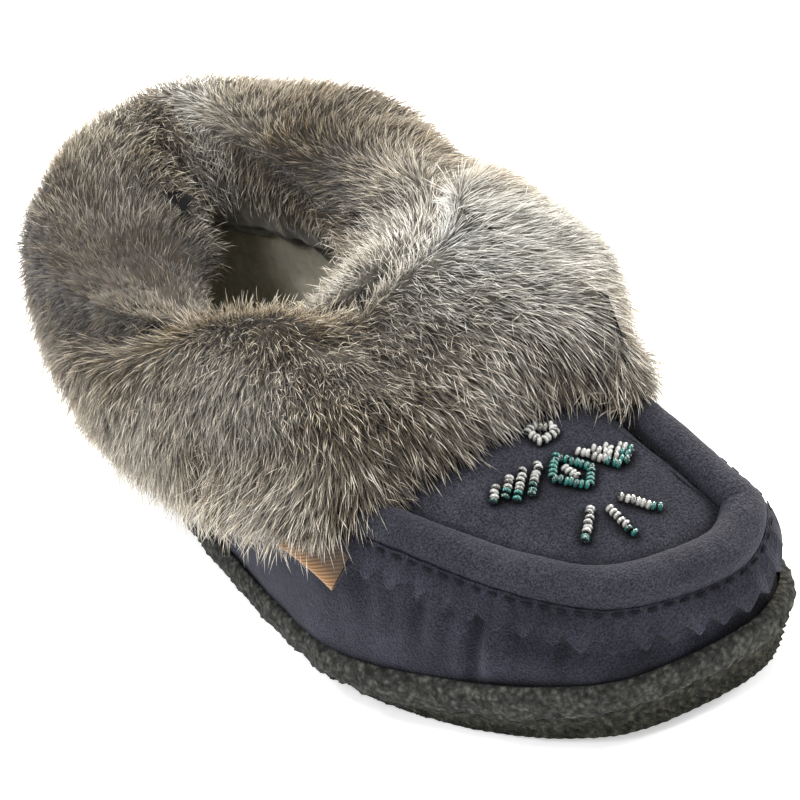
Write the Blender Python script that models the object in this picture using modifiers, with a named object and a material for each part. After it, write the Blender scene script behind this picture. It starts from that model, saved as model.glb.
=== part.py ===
"""Suede moccasin slipper for the right foot, with a deep fur cuff and a beaded apron.

+Z is up, the toe points along -Y and the outer side of the foot is at -X.  The origin
lies on the floor, under the middle of the sole.  Sizes are in millimetres, and the
meshes are made in metres.
"""

import math

import bmesh
import bpy
import numpy as np
from mathutils import Vector
from mathutils.bvhtree import BVHTree

MM = 0.001

# Driving dimensions
SOLE_LENGTH = 260.0
OUTSOLE_TOP = 8.0  # where the outsole meets the foxing, above the floor
FOXING_TOP = 18.4
GAP = 0.35  # between pieces that lie on each other
WALL = 2.2  # suede with its lining
INSOLE_THICKNESS = 4.0
TOE_SPRING = 5.3  # lift of the sole at the toe tip
TOE_SPRING_START = -57.0  # y where the sole leaves the floor
TOE_SPRING_RUN = 73.0
ARCH_LIFT = 1.6
ARCH_CENTRE = 42.0  # y of the highest point of the arch
ARCH_HALF_LENGTH = 32.0
SEAM_LIFT = 2.2  # how much higher the outsole's top is at the toe than elsewhere
SEAM_LIFTS = (-95.0, -125.0)  # y between which it rises
HEEL_X = 5.0  # the heel and the toe both lean to the inner side
TOE_TIP_X = 13.7
SECTIONS = 72  # cross sections round the shoe, an even number

# Half widths of the sole from its long axis, and how far the outsole is tucked under it.
#  share of length from the heel, outer side, inner side, tuck
HALF_WIDTHS = (
    (0.030, 18, 27, 0.0),
    (0.12, 28.5, 36, 1.0),
    (0.25, 39, 40, 3.5),
    (0.40, 48.5, 41.5, 6.0),
    (0.55, 56, 43, 6.0),
    (0.68, 58.5, 42, 4.5),
    (0.80, 48, 40, 1.0),
    (0.90, 34.5, 39, 0.0),
    (0.965, 18, 35, 0.0),
)

# Where the upper's outer face leaves the sole: inset from the sole's edge, and height.
UPPER_FOOT = ((3.5, OUTSOLE_TOP + 0.3), (3.3, FOXING_TOP), (3.1, 27.0))

# The apron seam climbs from the toe to the throat: inset from the sole's edge, height
# at a place, and that place's y.
APRON_RISE = 0.32
STITCH_LINE = (4.4, 38.6, -120.0)
PLUG_LINE = (15.4, 46.0, -105.0)
RISE_EASES_AT = -62.0  # y from which the climb levels off
RISE_ENDS_AT = -8.0

# Behind the apron the wall only narrows towards the collar: inset and height.
HEEL_WALL = ((4.0, 42.0), (6.0, 56.0))
APRON_FADES = (12.0, -44.0)  # y between which one form passes into the other

PLUG_ROWS = (0.22, 0.48, 0.74, 1.0)  # shares of the way from the plug's edge to the collar
PLUG_CROWN = 5.5
HEEL_CROWN = 1.5

# Collar: an oval in plan, with its height along the foot.
COLLAR_CENTRE = (1.0, 55.0)
COLLAR_HALF = (31.0, 63.0)
COLLAR_SQUARENESS = 2.5
EVENNESS = 0.5  # how evenly the sections are spread round the collar
#  y, height
COLLAR_HEIGHT = ((-8, 77), (20, 73), (55, 70), (90, 74), (118, 79))

ROLL_BULGE = 6.6  # how far the padded seam stands above the chord under it
STRIP_WIDTH = 8.0
STRIP_THICKNESS = 0.9
TOOTH_DEPTH = 2.6

# Fur cuff, by the direction from the collar's centre: 0 is the heel, 90 the outer side,
# 180 the toe and 270 the inner side.  over is how far the fold stands past the collar's
# edge, out and into how far it bulges to either side of it, skirt the thickness near
# the hem, and flap the length that is turned down.
#  angle, over, out, into, skirt, flap
FUR_CUFF = (
    (0, 27, 25, 16, 15, 50),
    (50, 26, 20, 16, 13, 47),
    (90, 27, 24, 13, 13, 42),
    (125, 25, 23, 12, 13, 60),
    (155, 16, 21, 10, 13, 58),
    (180, 15, 24, 9, 14, 57),
    (205, 18, 31, 9, 16, 62),
    (232, 28, 39, 9, 18, 67),
    (270, 36, 38, 12, 18, 52),
    (320, 34, 33, 16, 16, 50),
)
# Creases where the lengths of fur meet: angle, half width in degrees, depth
FUR_CREASES = ((140, 9, 7), (214, 11, 4), (334, 9, 6))
FOLD_UPRIGHT = 0.8  # how far the fold turns from the wall's line towards the vertical
LOCK_LENGTH = 14.0
LOCK_RADIUS = 4.4
LOCK_DEPTH = 3.6  # how deep a lock is rooted
#  point of the profile that a row of locks grows from, spacing, start, outward tilt
LOCK_ROWS = ((15, 27, 0, 0.8), (18, 24, 11, 0.7), (20, 23, 5, 0.6))

# Beadwork on the plug: centre of the diamond, and the way its long axis leans.
BEADWORK_CENTRE = (2.1, -82.6)
BEADWORK_TURN = math.radians(-9.2)
DIAMOND_HALF = (6.7, 5.9)
BEAD = 1.8
#  bars beside the diamond: distance from its centre, distance ahead of it, length
OUTER_BARS = ((22.6, -5.9, 6.9), (18.6, -5.0, 10.5), (15.1, -3.8, 13.4), (10.8, -3.0, 13.8))
INNER_BARS = ((17.2, -0.2, 4.5), (14.5, 0.3, 8.4), (11.6, 0.6, 11.8), (8.6, 0.0, 13.0))
OUTER_LEAN = math.radians(45)
INNER_LEAN = math.radians(30)
RAY_START = 12.8
RAY_LENGTH = 10.4
RAY_ANGLE = math.radians(40)
RAY_SPREAD = 4.5
#  corners of the loop behind the diamond: across, ahead
BEAD_LOOP = ((-4.2, -14.9), (2.0, -13.3), (2.8, -10.6), (-3.2, -9.0))

# Ribbon tab under the cuff on the outer side: y of its middle, height of its seam
TAB_Y = -52.0
TAB_SEAM = 51.5
TAB_WIDTH = 17.0
RIBBON_THICKNESS = 0.6
#  section of the loop: outward from the wall, down from the seam
TAB_LOOP = (
    (1.0, 0.0),
    (3.4, 2.6),
    (6.6, 6.4),
    (9.2, 10.6),
    (8.6, 11.8),
    (5.0, 9.2),
    (1.6, 5.2),
    (0.7, 1.6),
)

# Colours as linear RGB, with roughness
SUEDE = ((0.040, 0.043, 0.072), 0.95)
ROLL_SUEDE = ((0.036, 0.038, 0.058), 0.95)
CREPE = ((0.075, 0.083, 0.075), 0.95)
CREPE_DARK = ((0.045, 0.045, 0.030), 0.95)
LINING = ((0.062, 0.058, 0.048), 0.9)
FUR = ((0.22, 0.18, 0.14), 0.9)
RIBBON = ((0.57, 0.36, 0.21), 0.5)
GLASS_CLEAR = ((0.75, 0.75, 0.72), 0.15)
GLASS_TEAL = ((0.015, 0.27, 0.25), 0.2)


# Small helpers


def smooth_step(value, start, end):
    """0 before start, 1 after end, and an even S between; start may lie above end."""
    share = np.clip((np.asarray(value, float) - start) / (end - start), 0, 1)
    return share * share * (3 - 2 * share)


def catmull_rom(points, per_span, closed):
    """Points along a smooth curve through the given ones."""
    points = np.asarray(points, float)
    count = len(points)
    spans = count if closed else count - 1
    share = np.linspace(0, 1, per_span, endpoint=False)[:, None]
    rows = []
    for i in range(spans):
        if closed:
            p0, p1, p2, p3 = (points[(i + k) % count] for k in (-1, 0, 1, 2))
        else:
            p0, p1, p2, p3 = (points[min(max(i + k, 0), count - 1)] for k in (-1, 0, 1, 2))
        rows.append(
            0.5
            * (
                2 * p1
                + (p2 - p0) * share
                + (2 * p0 - 5 * p1 + 4 * p2 - p3) * share**2
                + (3 * p1 - p0 - 3 * p2 + p3) * share**3
            )
        )
    if not closed:
        rows.append(points[-1:])
    return np.concatenate(rows)


def even_steps(curve, count):
    """count points at equal steps along an open curve, its last point left out."""
    steps = np.linalg.norm(np.diff(curve, axis=0), axis=1)
    run = np.concatenate([[0], np.cumsum(steps)])
    at = np.linspace(0, run[-1], count, endpoint=False)
    return np.stack([np.interp(at, run, curve[:, k]) for k in range(curve.shape[1])], 1)


def unit(vectors):
    return vectors / np.linalg.norm(vectors, axis=-1, keepdims=True)


def ring_average(values, reach=3):
    """Each value of a closed ring averaged with its neighbours on both sides."""
    return sum(np.roll(values, k, 0) for k in range(-reach, reach + 1)) / (2 * reach + 1)


def material(name, colour_and_roughness, metallic=0.0):
    colour, roughness = colour_and_roughness
    made = bpy.data.materials.new(name)
    made.use_nodes = True
    shader = made.node_tree.nodes["Principled BSDF"]
    shader.inputs["Base Color"].default_value = (*colour, 1)
    shader.inputs["Roughness"].default_value = roughness
    shader.inputs["Metallic"].default_value = metallic
    return made


def add_object(name, points, faces, finish, collection):
    """A mesh object from points in millimetres, with its faces turned outwards."""
    mesh = bpy.data.meshes.new(name)
    mesh.from_pydata((np.asarray(points) * MM).tolist(), [], faces)
    shaped = bmesh.new()
    shaped.from_mesh(mesh)
    bmesh.ops.recalc_face_normals(shaped, faces=shaped.faces)
    shaped.to_mesh(mesh)
    shaped.free()
    mesh.materials.append(finish)
    mesh.shade_smooth()
    obj = bpy.data.objects.new(name, mesh)
    collection.objects.link(obj)
    return obj


def grid_faces(rows, columns, wrap_rows=False, wrap_columns=True):
    """Quads between the points of a grid that is stored row by row."""
    faces = []
    for r in range(rows if wrap_rows else rows - 1):
        for c in range(columns if wrap_columns else columns - 1):
            below, beside = (r + 1) % rows, (c + 1) % columns
            faces.append(
                (r * columns + c, r * columns + beside, below * columns + beside, below * columns + c)
            )
    return faces


def ladder_faces(first, count):
    """Fills a closed ring of points with strips from side to side."""
    half = count // 2
    faces = [(first, first + 1, first + count - 1)]
    for i in range(1, half - 1):
        faces.append((first + i, first + i + 1, first + count - i - 1, first + count - i))
    faces.append((first + half - 1, first + half, first + half + 1))
    return faces


# The last: the sole's outline and the upper's sections


def sole_outline():
    """(points, inward normals) round the sole: heel, outer side, toe, inner side."""
    half = SOLE_LENGTH / 2
    outer = [(-row[1], half - row[0] * SOLE_LENGTH) for row in HALF_WIDTHS]
    inner = [(row[2], half - row[0] * SOLE_LENGTH) for row in reversed(HALF_WIDTHS)]
    per_span = 40
    curve = catmull_rom([(HEEL_X, half), *outer, (TOE_TIP_X, -half), *inner], per_span, True)
    tip = (len(outer) + 1) * per_span
    to_toe = even_steps(curve[: tip + 1], SECTIONS // 2)
    to_heel = even_steps(np.concatenate([curve[tip:], curve[:1]]), SECTIONS // 2)
    points = np.concatenate([to_toe, to_heel])
    along = np.roll(points, -1, 0) - np.roll(points, 1, 0)
    along /= np.linalg.norm(along, axis=1)[:, None]
    return points, np.stack([-along[:, 1], along[:, 0]], 1)


def finer(values, factor):
    """The same closed ring with more sections, straight between the old ones."""
    count = len(values)
    at = np.arange(count * factor) / factor
    closed = np.concatenate([values, values[:1]])
    return np.stack(
        [np.interp(at, np.arange(count + 1), closed[:, k]) for k in range(values.shape[1])], 1
    )


def toe_lift(y):
    share = np.clip((TOE_SPRING_START - y) / TOE_SPRING_RUN, 0, None)
    return TOE_SPRING * share**2


def arch_lift(y):
    share = np.clip(np.abs(y - ARCH_CENTRE) / ARCH_HALF_LENGTH, 0, 1)
    return ARCH_LIFT * (1 - share**2) ** 2


def tuck(y):
    """How far the outsole's edge is tucked under the foxing, more in the waist."""
    table = np.array(HALF_WIDTHS)
    return np.interp(SOLE_LENGTH / 2 - y, table[:, 0] * SOLE_LENGTH, table[:, 3])


def sole_ring(outline, inward, inset, height, arched=False):
    """A ring round the sole at an inset from its edge, lifted with the toe spring."""
    inset = np.broadcast_to(inset, len(outline))[:, None]
    plan = outline + inward * inset
    near_seam = np.interp(height, (0, OUTSOLE_TOP, OUTSOLE_TOP + 4.5, FOXING_TOP), (0, 1, 1, 0))
    lift = toe_lift(plan[:, 1]) + near_seam * SEAM_LIFT * smooth_step(plan[:, 1], *SEAM_LIFTS)
    if arched:
        lift = lift + arch_lift(plan[:, 1])
    return np.column_stack([plan, height + lift])


def apron_height(y, at_height, at_y):
    """Height of a line of the apron seam, which climbs and then levels off."""
    span = RISE_ENDS_AT - RISE_EASES_AT
    past = np.clip(y - RISE_EASES_AT, 0, span)
    climb = np.minimum(y, RISE_EASES_AT) - at_y + past - past**2 / (2 * span)
    return at_height + APRON_RISE * climb


def collar_angle(plan):
    """Direction of plan points from the collar's centre, in the collar's own scale."""
    x = (plan[:, 0] - COLLAR_CENTRE[0]) / COLLAR_HALF[0]
    y = (plan[:, 1] - COLLAR_CENTRE[1]) / COLLAR_HALF[1]
    return np.arctan2(-x, y) % (2 * math.pi)


def section_angles(outline):
    """Where each section meets the collar: its own direction, evened out round the ring."""
    direct = collar_angle(outline)
    direct[0] -= 2 * math.pi * (direct[0] > math.pi)
    even = np.linspace(0, 2 * math.pi, len(outline), endpoint=False)
    return direct * (1 - EVENNESS) + even * EVENNESS


def collar_ring(angle):
    sine, cosine = np.sin(angle), np.cos(angle)
    power = 2 / COLLAR_SQUARENESS
    x = COLLAR_CENTRE[0] - COLLAR_HALF[0] * np.sign(sine) * np.abs(sine) ** power
    y = COLLAR_CENTRE[1] + COLLAR_HALF[1] * np.sign(cosine) * np.abs(cosine) ** power
    curve = catmull_rom(COLLAR_HEIGHT, 12, False)
    return np.column_stack([x, y, np.interp(y, curve[:, 0], curve[:, 1])])


def upper_rows(outline, inward):
    """Rows of the upper's outer face from its foot to the collar, rows x sections x 3."""
    rows = [sole_ring(outline, inward, inset, height) for inset, height in UPPER_FOOT]
    front = smooth_step(outline[:, 1], *APRON_FADES)[:, None]
    seam = []
    for (inset, height, at_y), (heel_inset, heel_height) in zip((STITCH_LINE, PLUG_LINE), HEEL_WALL):
        plan = outline + inward * inset
        on_apron = np.column_stack([plan, apron_height(plan[:, 1], height, at_y)])
        on_heel = np.column_stack([outline + inward * heel_inset, np.full(len(outline), heel_height)])
        seam.append(on_apron * front + on_heel * (1 - front))
    stitch, plug = seam
    rows += [stitch, (stitch + plug) / 2, plug]
    collar = collar_ring(section_angles(outline))
    rise = np.column_stack([np.zeros((len(outline), 2)), np.ones(len(outline))])
    outward = np.column_stack([-inward, np.zeros(len(outline))])
    bulge = rise * front * PLUG_CROWN + outward * (1 - front) * HEEL_CROWN
    for share in PLUG_ROWS:
        rows.append(plug + (collar - plug) * share + bulge * 4 * share * (1 - share))
    return np.array(rows)


STITCH_ROW = len(UPPER_FOOT)
PLUG_ROW = STITCH_ROW + 2


def row_normals(rows, closed=True):
    """Outward normals of a grid of rows along or right round the shoe."""
    up = np.gradient(rows, axis=0)
    along = np.roll(rows, -1, 1) - np.roll(rows, 1, 1) if closed else np.gradient(rows, axis=1)
    return unit(np.cross(along, up))


def along_section(rows, first_row, direction, distance, closed=True):
    """Points and outward normals at distances along each section's rows.

    The distance runs from first_row, up towards the collar (1) or down to the sole (-1).
    """
    normals = row_normals(rows, closed)
    order = np.arange(first_row, len(rows) if direction > 0 else -1, direction)
    points = np.empty((rows.shape[1], 3))
    facing = np.empty((rows.shape[1], 3))
    distance = np.broadcast_to(distance, rows.shape[1])
    for i in range(rows.shape[1]):
        line = rows[order, i]
        run = np.concatenate([[0], np.cumsum(np.linalg.norm(np.diff(line, axis=0), axis=1))])
        for k in range(3):
            points[i, k] = np.interp(distance[i], run, line[:, k])
            facing[i, k] = np.interp(distance[i], run, normals[order, i, k])
    return points, unit(facing)


# Sole


def make_outsole(outline, inward, collection, finish):
    #  inset from the sole's edge, share of the tuck, height
    profile = ((4.6, 1.0, 0.0), (3.6, 0.95, 0.9), (2.7, 0.5, 4.4), (2.4, 0.1, 7.2), (2.9, 0.0, OUTSOLE_TOP))
    rings = [
        sole_ring(outline, inward, inset + share * tuck(outline[:, 1]), height, arched=height < 2)
        for inset, share, height in profile
    ]
    points = np.concatenate(rings)
    faces = grid_faces(len(rings), SECTIONS)
    faces += ladder_faces(0, SECTIONS) + ladder_faces(SECTIONS * (len(rings) - 1), SECTIONS)
    return add_object("outsole", points, faces, finish, collection)


def make_foxing(outline, inward, collection, finish):
    inner = UPPER_FOOT[1][0] - GAP
    low = OUTSOLE_TOP + GAP
    profile = (
        (inner, low),
        (2.3, low),
        (0.9, low + 1.1),
        (0.0, 13.0),
        (0.9, 17.2),
        (2.1, FOXING_TOP),
        (inner, FOXING_TOP),
    )
    rings = [sole_ring(outline, inward, inset, height) for inset, height in profile]
    faces = grid_faces(len(rings), SECTIONS, wrap_rows=True)
    return add_object("foxing", np.concatenate(rings), faces, finish, collection)


def make_insole(outline, inward, collection, finish):
    inset = UPPER_FOOT[0][0] + WALL + 0.5
    low = OUTSOLE_TOP + GAP
    profile = ((inset, low), (inset, low + INSOLE_THICKNESS - 0.8), (inset + 1, low + INSOLE_THICKNESS))
    rings = [sole_ring(outline, inward, inset, height) for inset, height in profile]
    faces = grid_faces(len(rings), SECTIONS)
    faces += ladder_faces(0, SECTIONS) + ladder_faces(SECTIONS * (len(rings) - 1), SECTIONS)
    return add_object("insole", np.concatenate(rings), faces, finish, collection)


# Upper and its seam


def make_upper(rows, collection, finish):
    faces = grid_faces(len(rows), SECTIONS)
    upper = add_object("upper", rows.reshape(-1, 3), faces, finish, collection)
    shell = upper.modifiers.new("wall", "SOLIDIFY")
    shell.thickness = WALL * MM
    shell.offset = -1
    return upper


def apron_sections(rows):
    """The run of sections, as indices, where the padded seam lies clear of the fur."""
    flap = fur_values(rows)[:, 4]
    to_collar = np.linalg.norm(np.diff(rows[PLUG_ROW:], axis=0), axis=2).sum(0)
    clear = np.flatnonzero(to_collar > flap + 8)
    middle = SECTIONS // 2
    return np.array([i for i in clear if abs(i - middle) < SECTIONS // 3])


def make_apron_roll(rows, collection, finish):
    """A padded tube with a flat underside, from the stitches over to the plug's edge."""
    normals = row_normals(rows)
    sections = []
    for i in apron_sections(rows):
        stitch, middle, plug = (rows[k, i] for k in range(STITCH_ROW, PLUG_ROW + 1))
        across = plug - stitch
        out = normals[STITCH_ROW + 1, i]
        out = out - across * out.dot(across) / across.dot(across)
        out /= np.linalg.norm(out)
        arc = []
        for angle in np.linspace(-0.08, math.pi + 0.08, 9):
            side = -0.54 * across * math.cos(angle)
            arc.append(middle + side + out * (GAP + 0.5 + ROLL_BULGE * max(math.sin(angle), 0)))
        under = [middle + across * 0.47 + out * GAP, middle - across * 0.47 + out * GAP]
        sections.append(arc + under)
    around = len(sections[0])
    faces = grid_faces(len(sections), around)
    faces += [tuple(range(around)), tuple(range((len(sections) - 1) * around, len(sections) * around))]
    return add_object("apron_roll", np.concatenate(sections), faces, finish, collection)


def make_pinked_strip(outline, inward, collection, finish):
    """The strip under the seam, with a zigzag lower edge: two columns to a tooth."""
    rows = upper_rows(finer(outline, 2), finer(inward, 2))
    coarse = apron_sections(upper_rows(outline, inward))
    used = np.arange(coarse[0] * 2 + 1, coarse[-1] * 2)
    rows = rows[:, used]
    lower_edge = STRIP_WIDTH - np.where(np.arange(len(used)) % 2 == 0, 0.0, TOOTH_DEPTH)
    low = GAP + 0.15
    high = low + STRIP_THICKNESS
    lines = []
    for distance, lift in ((0.6, low), (lower_edge, low), (lower_edge, high), (0.6, high)):
        points, facing = along_section(rows, STITCH_ROW, -1, distance, closed=False)
        lines.append(points + facing * lift)
    grid = np.stack(lines, 1)
    around = grid.shape[1]
    faces = grid_faces(len(grid), around)
    faces += [tuple(range(around)), tuple(range((len(grid) - 1) * around, len(grid) * around))]
    return add_object("pinked_strip", grid.reshape(-1, 3), faces, finish, collection)


# Fur


def fur_values(rows):
    """over, out, into, skirt and flap of the fur cuff at each section."""
    collar = rows[-1]
    angle = np.degrees(collar_angle(collar[:, :2]))
    table = np.array(FUR_CUFF, float)
    before = table[-1:] - [360, 0, 0, 0, 0, 0]
    after = table[:2] + [360, 0, 0, 0, 0, 0]
    curve = catmull_rom(np.concatenate([before, table, after]), 10, False)
    values = np.stack([np.interp(angle, curve[:, 0], curve[:, k]) for k in range(1, 6)], 1)
    for at, half_width, depth in FUR_CREASES:
        away = (angle - at + 180) % 360 - 180
        pinch = depth * np.exp(-((away / half_width) ** 2))
        values[:, 0] -= 0.6 * pinch
        values[:, 1] -= pinch
        values[:, 3] -= 0.4 * pinch
    return values


def fur_sections(rows):
    """Closed profiles of the fur, one for each section: (sections x points x 3)."""
    over, out, into, skirt, flap = fur_values(rows).T
    collar = rows[-1]
    reach = unit(collar - rows[-2]) + np.array((0, 0, FOLD_UPRIGHT))
    reach = unit(ring_average(reach))
    facing = ring_average(row_normals(rows)[-1])
    facing = unit(facing - reach * np.sum(facing * reach, 1)[:, None])
    lines = []
    top = len(rows) - 1
    for share in (1.0, 0.85, 0.65, 0.4, 0.15, 0.0):
        points, normal = along_section(rows, top, -1, flap * share)
        clear = 1.8 + 4.8 * math.sin(math.pi * share)
        lines.append(points + normal * clear)
    lines.append(collar + reach * 1.2 + facing * 0.8)
    lines.append(collar + reach * 1.2 - facing * (WALL + 1.0))
    points, normal = along_section(rows, top, -1, 6.0)
    lines.append(points - normal * (WALL + 1.3))
    lines.append(points - normal * (WALL + 0.45 * into[:, None]))
    for degrees in (180, 148, 118, 90, 62, 32, 0):
        angle = math.radians(degrees)
        side = np.where(degrees > 90, into + WALL, out)
        offset = side * math.cos(angle)
        lift = over * math.sin(angle)
        lines.append(collar + ring_average(facing * offset[:, None] + reach * lift[:, None]))
    for share, fullness in ((0.3, 1.0), (0.6, 0.8), (0.85, 0.45), (1.0, 0.0)):
        points, normal = along_section(rows, top, -1, flap * share)
        thickness = skirt + (out - skirt) * fullness
        thickness = thickness * (0.75 if share == 1.0 else 1)
        lines.append(points + ring_average(normal * thickness[:, None]))
    points, normal = along_section(rows, top, -1, flap + 3)
    lines.append(points + normal * (0.4 * skirt)[:, None])
    return np.stack(lines, 1)


def lock_mesh(root, direction, side, radius, length):
    """One lock: a bent five-sided spike, as points and faces."""
    bow = np.cross(direction, side)
    points = []
    for share, width, bend in ((0.0, 1.0, 0.0), (0.55, 0.62, 0.10)):
        centre = root + direction * length * share + bow * length * bend
        for k in range(5):
            turn = 2 * math.pi * k / 5
            points.append(centre + (side * math.cos(turn) + bow * math.sin(turn)) * radius * width)
    points.append(root + direction * length)
    faces = [(4, 3, 2, 1, 0)]
    for k in range(5):
        after = (k + 1) % 5
        faces.append((k, after, 5 + after, 5 + k))
        faces.append((5 + k, 5 + after, 10))
    return points, faces


def fur_locks(profiles):
    """Locks that lie along the fur, in staggered rows round its outer side."""
    points, faces = [], []
    for column, spacing, start, tilt in LOCK_ROWS:
        ring = profiles[:, column]
        steps = np.linalg.norm(np.roll(ring, -1, 0) - ring, axis=1)
        run = np.concatenate([[0], np.cumsum(steps)])
        for at in np.arange(start, run[-1] - spacing / 2, spacing):
            i = int(np.searchsorted(run, at)) % SECTIONS
            here = ring[i]
            down = profiles[i, column + 1] - profiles[i, column - 1]
            down /= np.linalg.norm(down)
            along = ring[(i + 1) % SECTIONS] - ring[i - 1]
            along -= down * along.dot(down)
            along /= np.linalg.norm(along)
            outward = np.cross(along, down)
            if outward.dot(here - profiles[i].mean(0)) < 0:
                outward = -outward
            direction = down + outward * tilt
            direction /= np.linalg.norm(direction)
            root = here - outward * LOCK_DEPTH - down * 2
            made, sides = lock_mesh(root, direction, along, LOCK_RADIUS, LOCK_LENGTH)
            faces += [tuple(len(points) + k for k in side) for side in sides]
            points += made
    return np.array(points), faces


def make_fur_cuff(rows, collection, cutters, finish):
    profiles = fur_sections(rows)
    faces = grid_faces(SECTIONS, profiles.shape[1], wrap_rows=True)
    cuff = add_object("fur_cuff", profiles.reshape(-1, 3), faces, finish, collection)
    lock_points, lock_faces = fur_locks(profiles)
    locks = add_object("fur_locks", lock_points, lock_faces, finish, cutters)
    locks.hide_render = True
    locks.display_type = "WIRE"
    fuse = cuff.modifiers.new("locks", "BOOLEAN")
    fuse.operation = "UNION"
    fuse.object = locks
    return cuff


def make_ribbon_tab(rows, collection, finish):
    """A folded ribbon that stands away from the wall under the cuff."""
    outer_side = np.arange(1, SECTIONS // 2)
    i = outer_side[np.argmin(np.abs(rows[1, outer_side, 1] - TAB_Y))]
    line = rows[: PLUG_ROW + 1, i]
    seam = np.array([np.interp(TAB_SEAM, line[:, 2], line[:, k]) for k in range(3)])
    along = rows[1, i + 1] - rows[1, i - 1]
    along /= np.linalg.norm(along)
    outward = np.cross(along, (0, 0, 1))
    lean = np.array(TAB_LOOP)
    middle = lean.mean(0)
    grid = []
    for end in (-0.5, 0.5):
        for inset in (0, RIBBON_THICKNESS):
            toward = middle - lean
            toward /= np.linalg.norm(toward, axis=1)[:, None]
            profile = lean + toward * inset
            grid.append(
                seam
                + along * TAB_WIDTH * end
                + outward * profile[:, :1]
                - np.array((0, 0, 1)) * profile[:, 1:]
            )
    order = (0, 1, 3, 2)
    points = np.concatenate([grid[k] for k in order])
    faces = grid_faces(4, len(lean), wrap_rows=True)
    return add_object("label_tab", points, faces, finish, collection)


# Beadwork


def add_bead_row(name, plan, upper_tree, closed, finish, collection):
    """A string of beads on the plug, as a tube along its plan points."""
    curve = bpy.data.curves.new(name, "CURVE")
    curve.dimensions = "3D"
    curve.bevel_depth = BEAD / 2 * MM
    curve.bevel_resolution = 1
    curve.use_fill_caps = not closed
    spline = curve.splines.new("POLY")
    spline.points.add(len(plan) - 1)
    spline.use_cyclic_u = closed
    for point, (x, y) in zip(spline.points, plan):
        hit = upper_tree.ray_cast(Vector((x, y, 200)) * MM, Vector((0, 0, -1)))[0]
        point.co = (x * MM, y * MM, hit.z + (BEAD / 2 + GAP + 0.1) * MM, 1)
    curve.materials.append(finish)
    obj = bpy.data.objects.new(name, curve)
    collection.objects.link(obj)
    return obj


def make_beadwork(upper, collection, clear, teal):
    tree = BVHTree.FromObject(upper, bpy.context.evaluated_depsgraph_get())
    toe_way = np.array((math.sin(BEADWORK_TURN), -math.cos(BEADWORK_TURN)))
    inner_way = np.array((-toe_way[1], toe_way[0]))

    def place(across, ahead):
        return np.array(BEADWORK_CENTRE) + inner_way * across + toe_way * ahead

    def row(name, corners, finish, closed=False):
        corners = [place(*corner) for corner in corners]
        ends = corners + corners[:1] if closed else corners
        plan = []
        for start, end in zip(ends, ends[1:]):
            parts = max(1, round(np.linalg.norm(end - start) / 4))
            plan += [start + (end - start) * k / parts for k in range(parts)]
        if not closed:
            plan.append(ends[-1])
        add_bead_row(name, plan, tree, closed, finish, collection)

    length, width = DIAMOND_HALF
    row("bead_diamond", [(0, -length), (-width, 0), (0, length), (width, 0)], teal, closed=True)
    row("bead_diamond_centre", [(0, -1.3 * BEAD), (0, 1.3 * BEAD)], clear)
    row("bead_loop", BEAD_LOOP, clear, closed=True)
    wings = ((-1, "outer", OUTER_BARS, OUTER_LEAN), (1, "inner", INNER_BARS, INNER_LEAN))
    for side, side_name, bars, lean in wings:
        for number, (away, ahead, bar_length) in enumerate(bars, 1):
            half = np.array((side * math.sin(lean), math.cos(lean))) * bar_length / 2
            middle = np.array((side * away, ahead))
            row(f"bead_bar_{side_name}_{number}", [middle - half, middle + half], clear)
    for number in (-1, 0, 1):
        start = np.array((number * RAY_SPREAD, RAY_START))
        angle = number * RAY_ANGLE
        end = start + np.array((math.sin(angle), math.cos(angle))) * RAY_LENGTH
        row(f"bead_ray_{number + 2}", [start, end], clear)


def main():
    for obj in list(bpy.data.objects):
        bpy.data.objects.remove(obj, do_unlink=True)
    slipper = bpy.data.collections.new("suede_slipper")
    cutters = bpy.data.collections.new("cutters")
    for collection in (slipper, cutters):
        bpy.context.scene.collection.children.link(collection)

    suede = material("suede", SUEDE)
    crepe = material("crepe", CREPE)
    outline, inward = sole_outline()
    rows = upper_rows(outline, inward)
    make_outsole(outline, inward, slipper, material("crepe_dark", CREPE_DARK))
    make_foxing(outline, inward, slipper, crepe)
    make_insole(outline, inward, slipper, material("lining", LINING))
    upper = make_upper(rows, slipper, suede)
    make_apron_roll(rows, slipper, material("roll_suede", ROLL_SUEDE))
    make_pinked_strip(outline, inward, slipper, suede)
    make_fur_cuff(rows, slipper, cutters, material("fur", FUR))
    make_ribbon_tab(rows, slipper, material("ribbon", RIBBON))
    bpy.context.view_layer.update()
    make_beadwork(upper, slipper, material("glass_clear", GLASS_CLEAR), material("glass_teal", GLASS_TEAL))


main()
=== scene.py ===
# Suede moccasin slipper for the right foot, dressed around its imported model.
# +Z is up, the toe points along -Y and the outer side of the foot is at -X.
# Shapes are worked out in millimetres and become metres when a mesh is made.
import math

import bpy
import numpy as np
from mathutils import Matrix


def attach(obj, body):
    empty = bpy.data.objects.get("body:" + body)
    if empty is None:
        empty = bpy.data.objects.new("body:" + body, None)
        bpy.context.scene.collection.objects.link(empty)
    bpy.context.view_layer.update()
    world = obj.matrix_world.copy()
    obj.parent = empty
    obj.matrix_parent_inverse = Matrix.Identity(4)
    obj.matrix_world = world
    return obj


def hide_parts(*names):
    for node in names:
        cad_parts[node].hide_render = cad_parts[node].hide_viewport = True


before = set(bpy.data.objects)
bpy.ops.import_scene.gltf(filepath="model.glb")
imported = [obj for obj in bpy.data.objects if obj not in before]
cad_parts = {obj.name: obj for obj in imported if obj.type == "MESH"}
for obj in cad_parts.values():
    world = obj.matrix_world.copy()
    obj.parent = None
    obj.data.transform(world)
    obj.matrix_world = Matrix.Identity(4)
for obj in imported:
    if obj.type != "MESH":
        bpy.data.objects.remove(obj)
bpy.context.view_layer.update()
mm = 0.001
ribbonRun = 29.0  # reach of the ribbon's UV map, just past its last row
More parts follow.
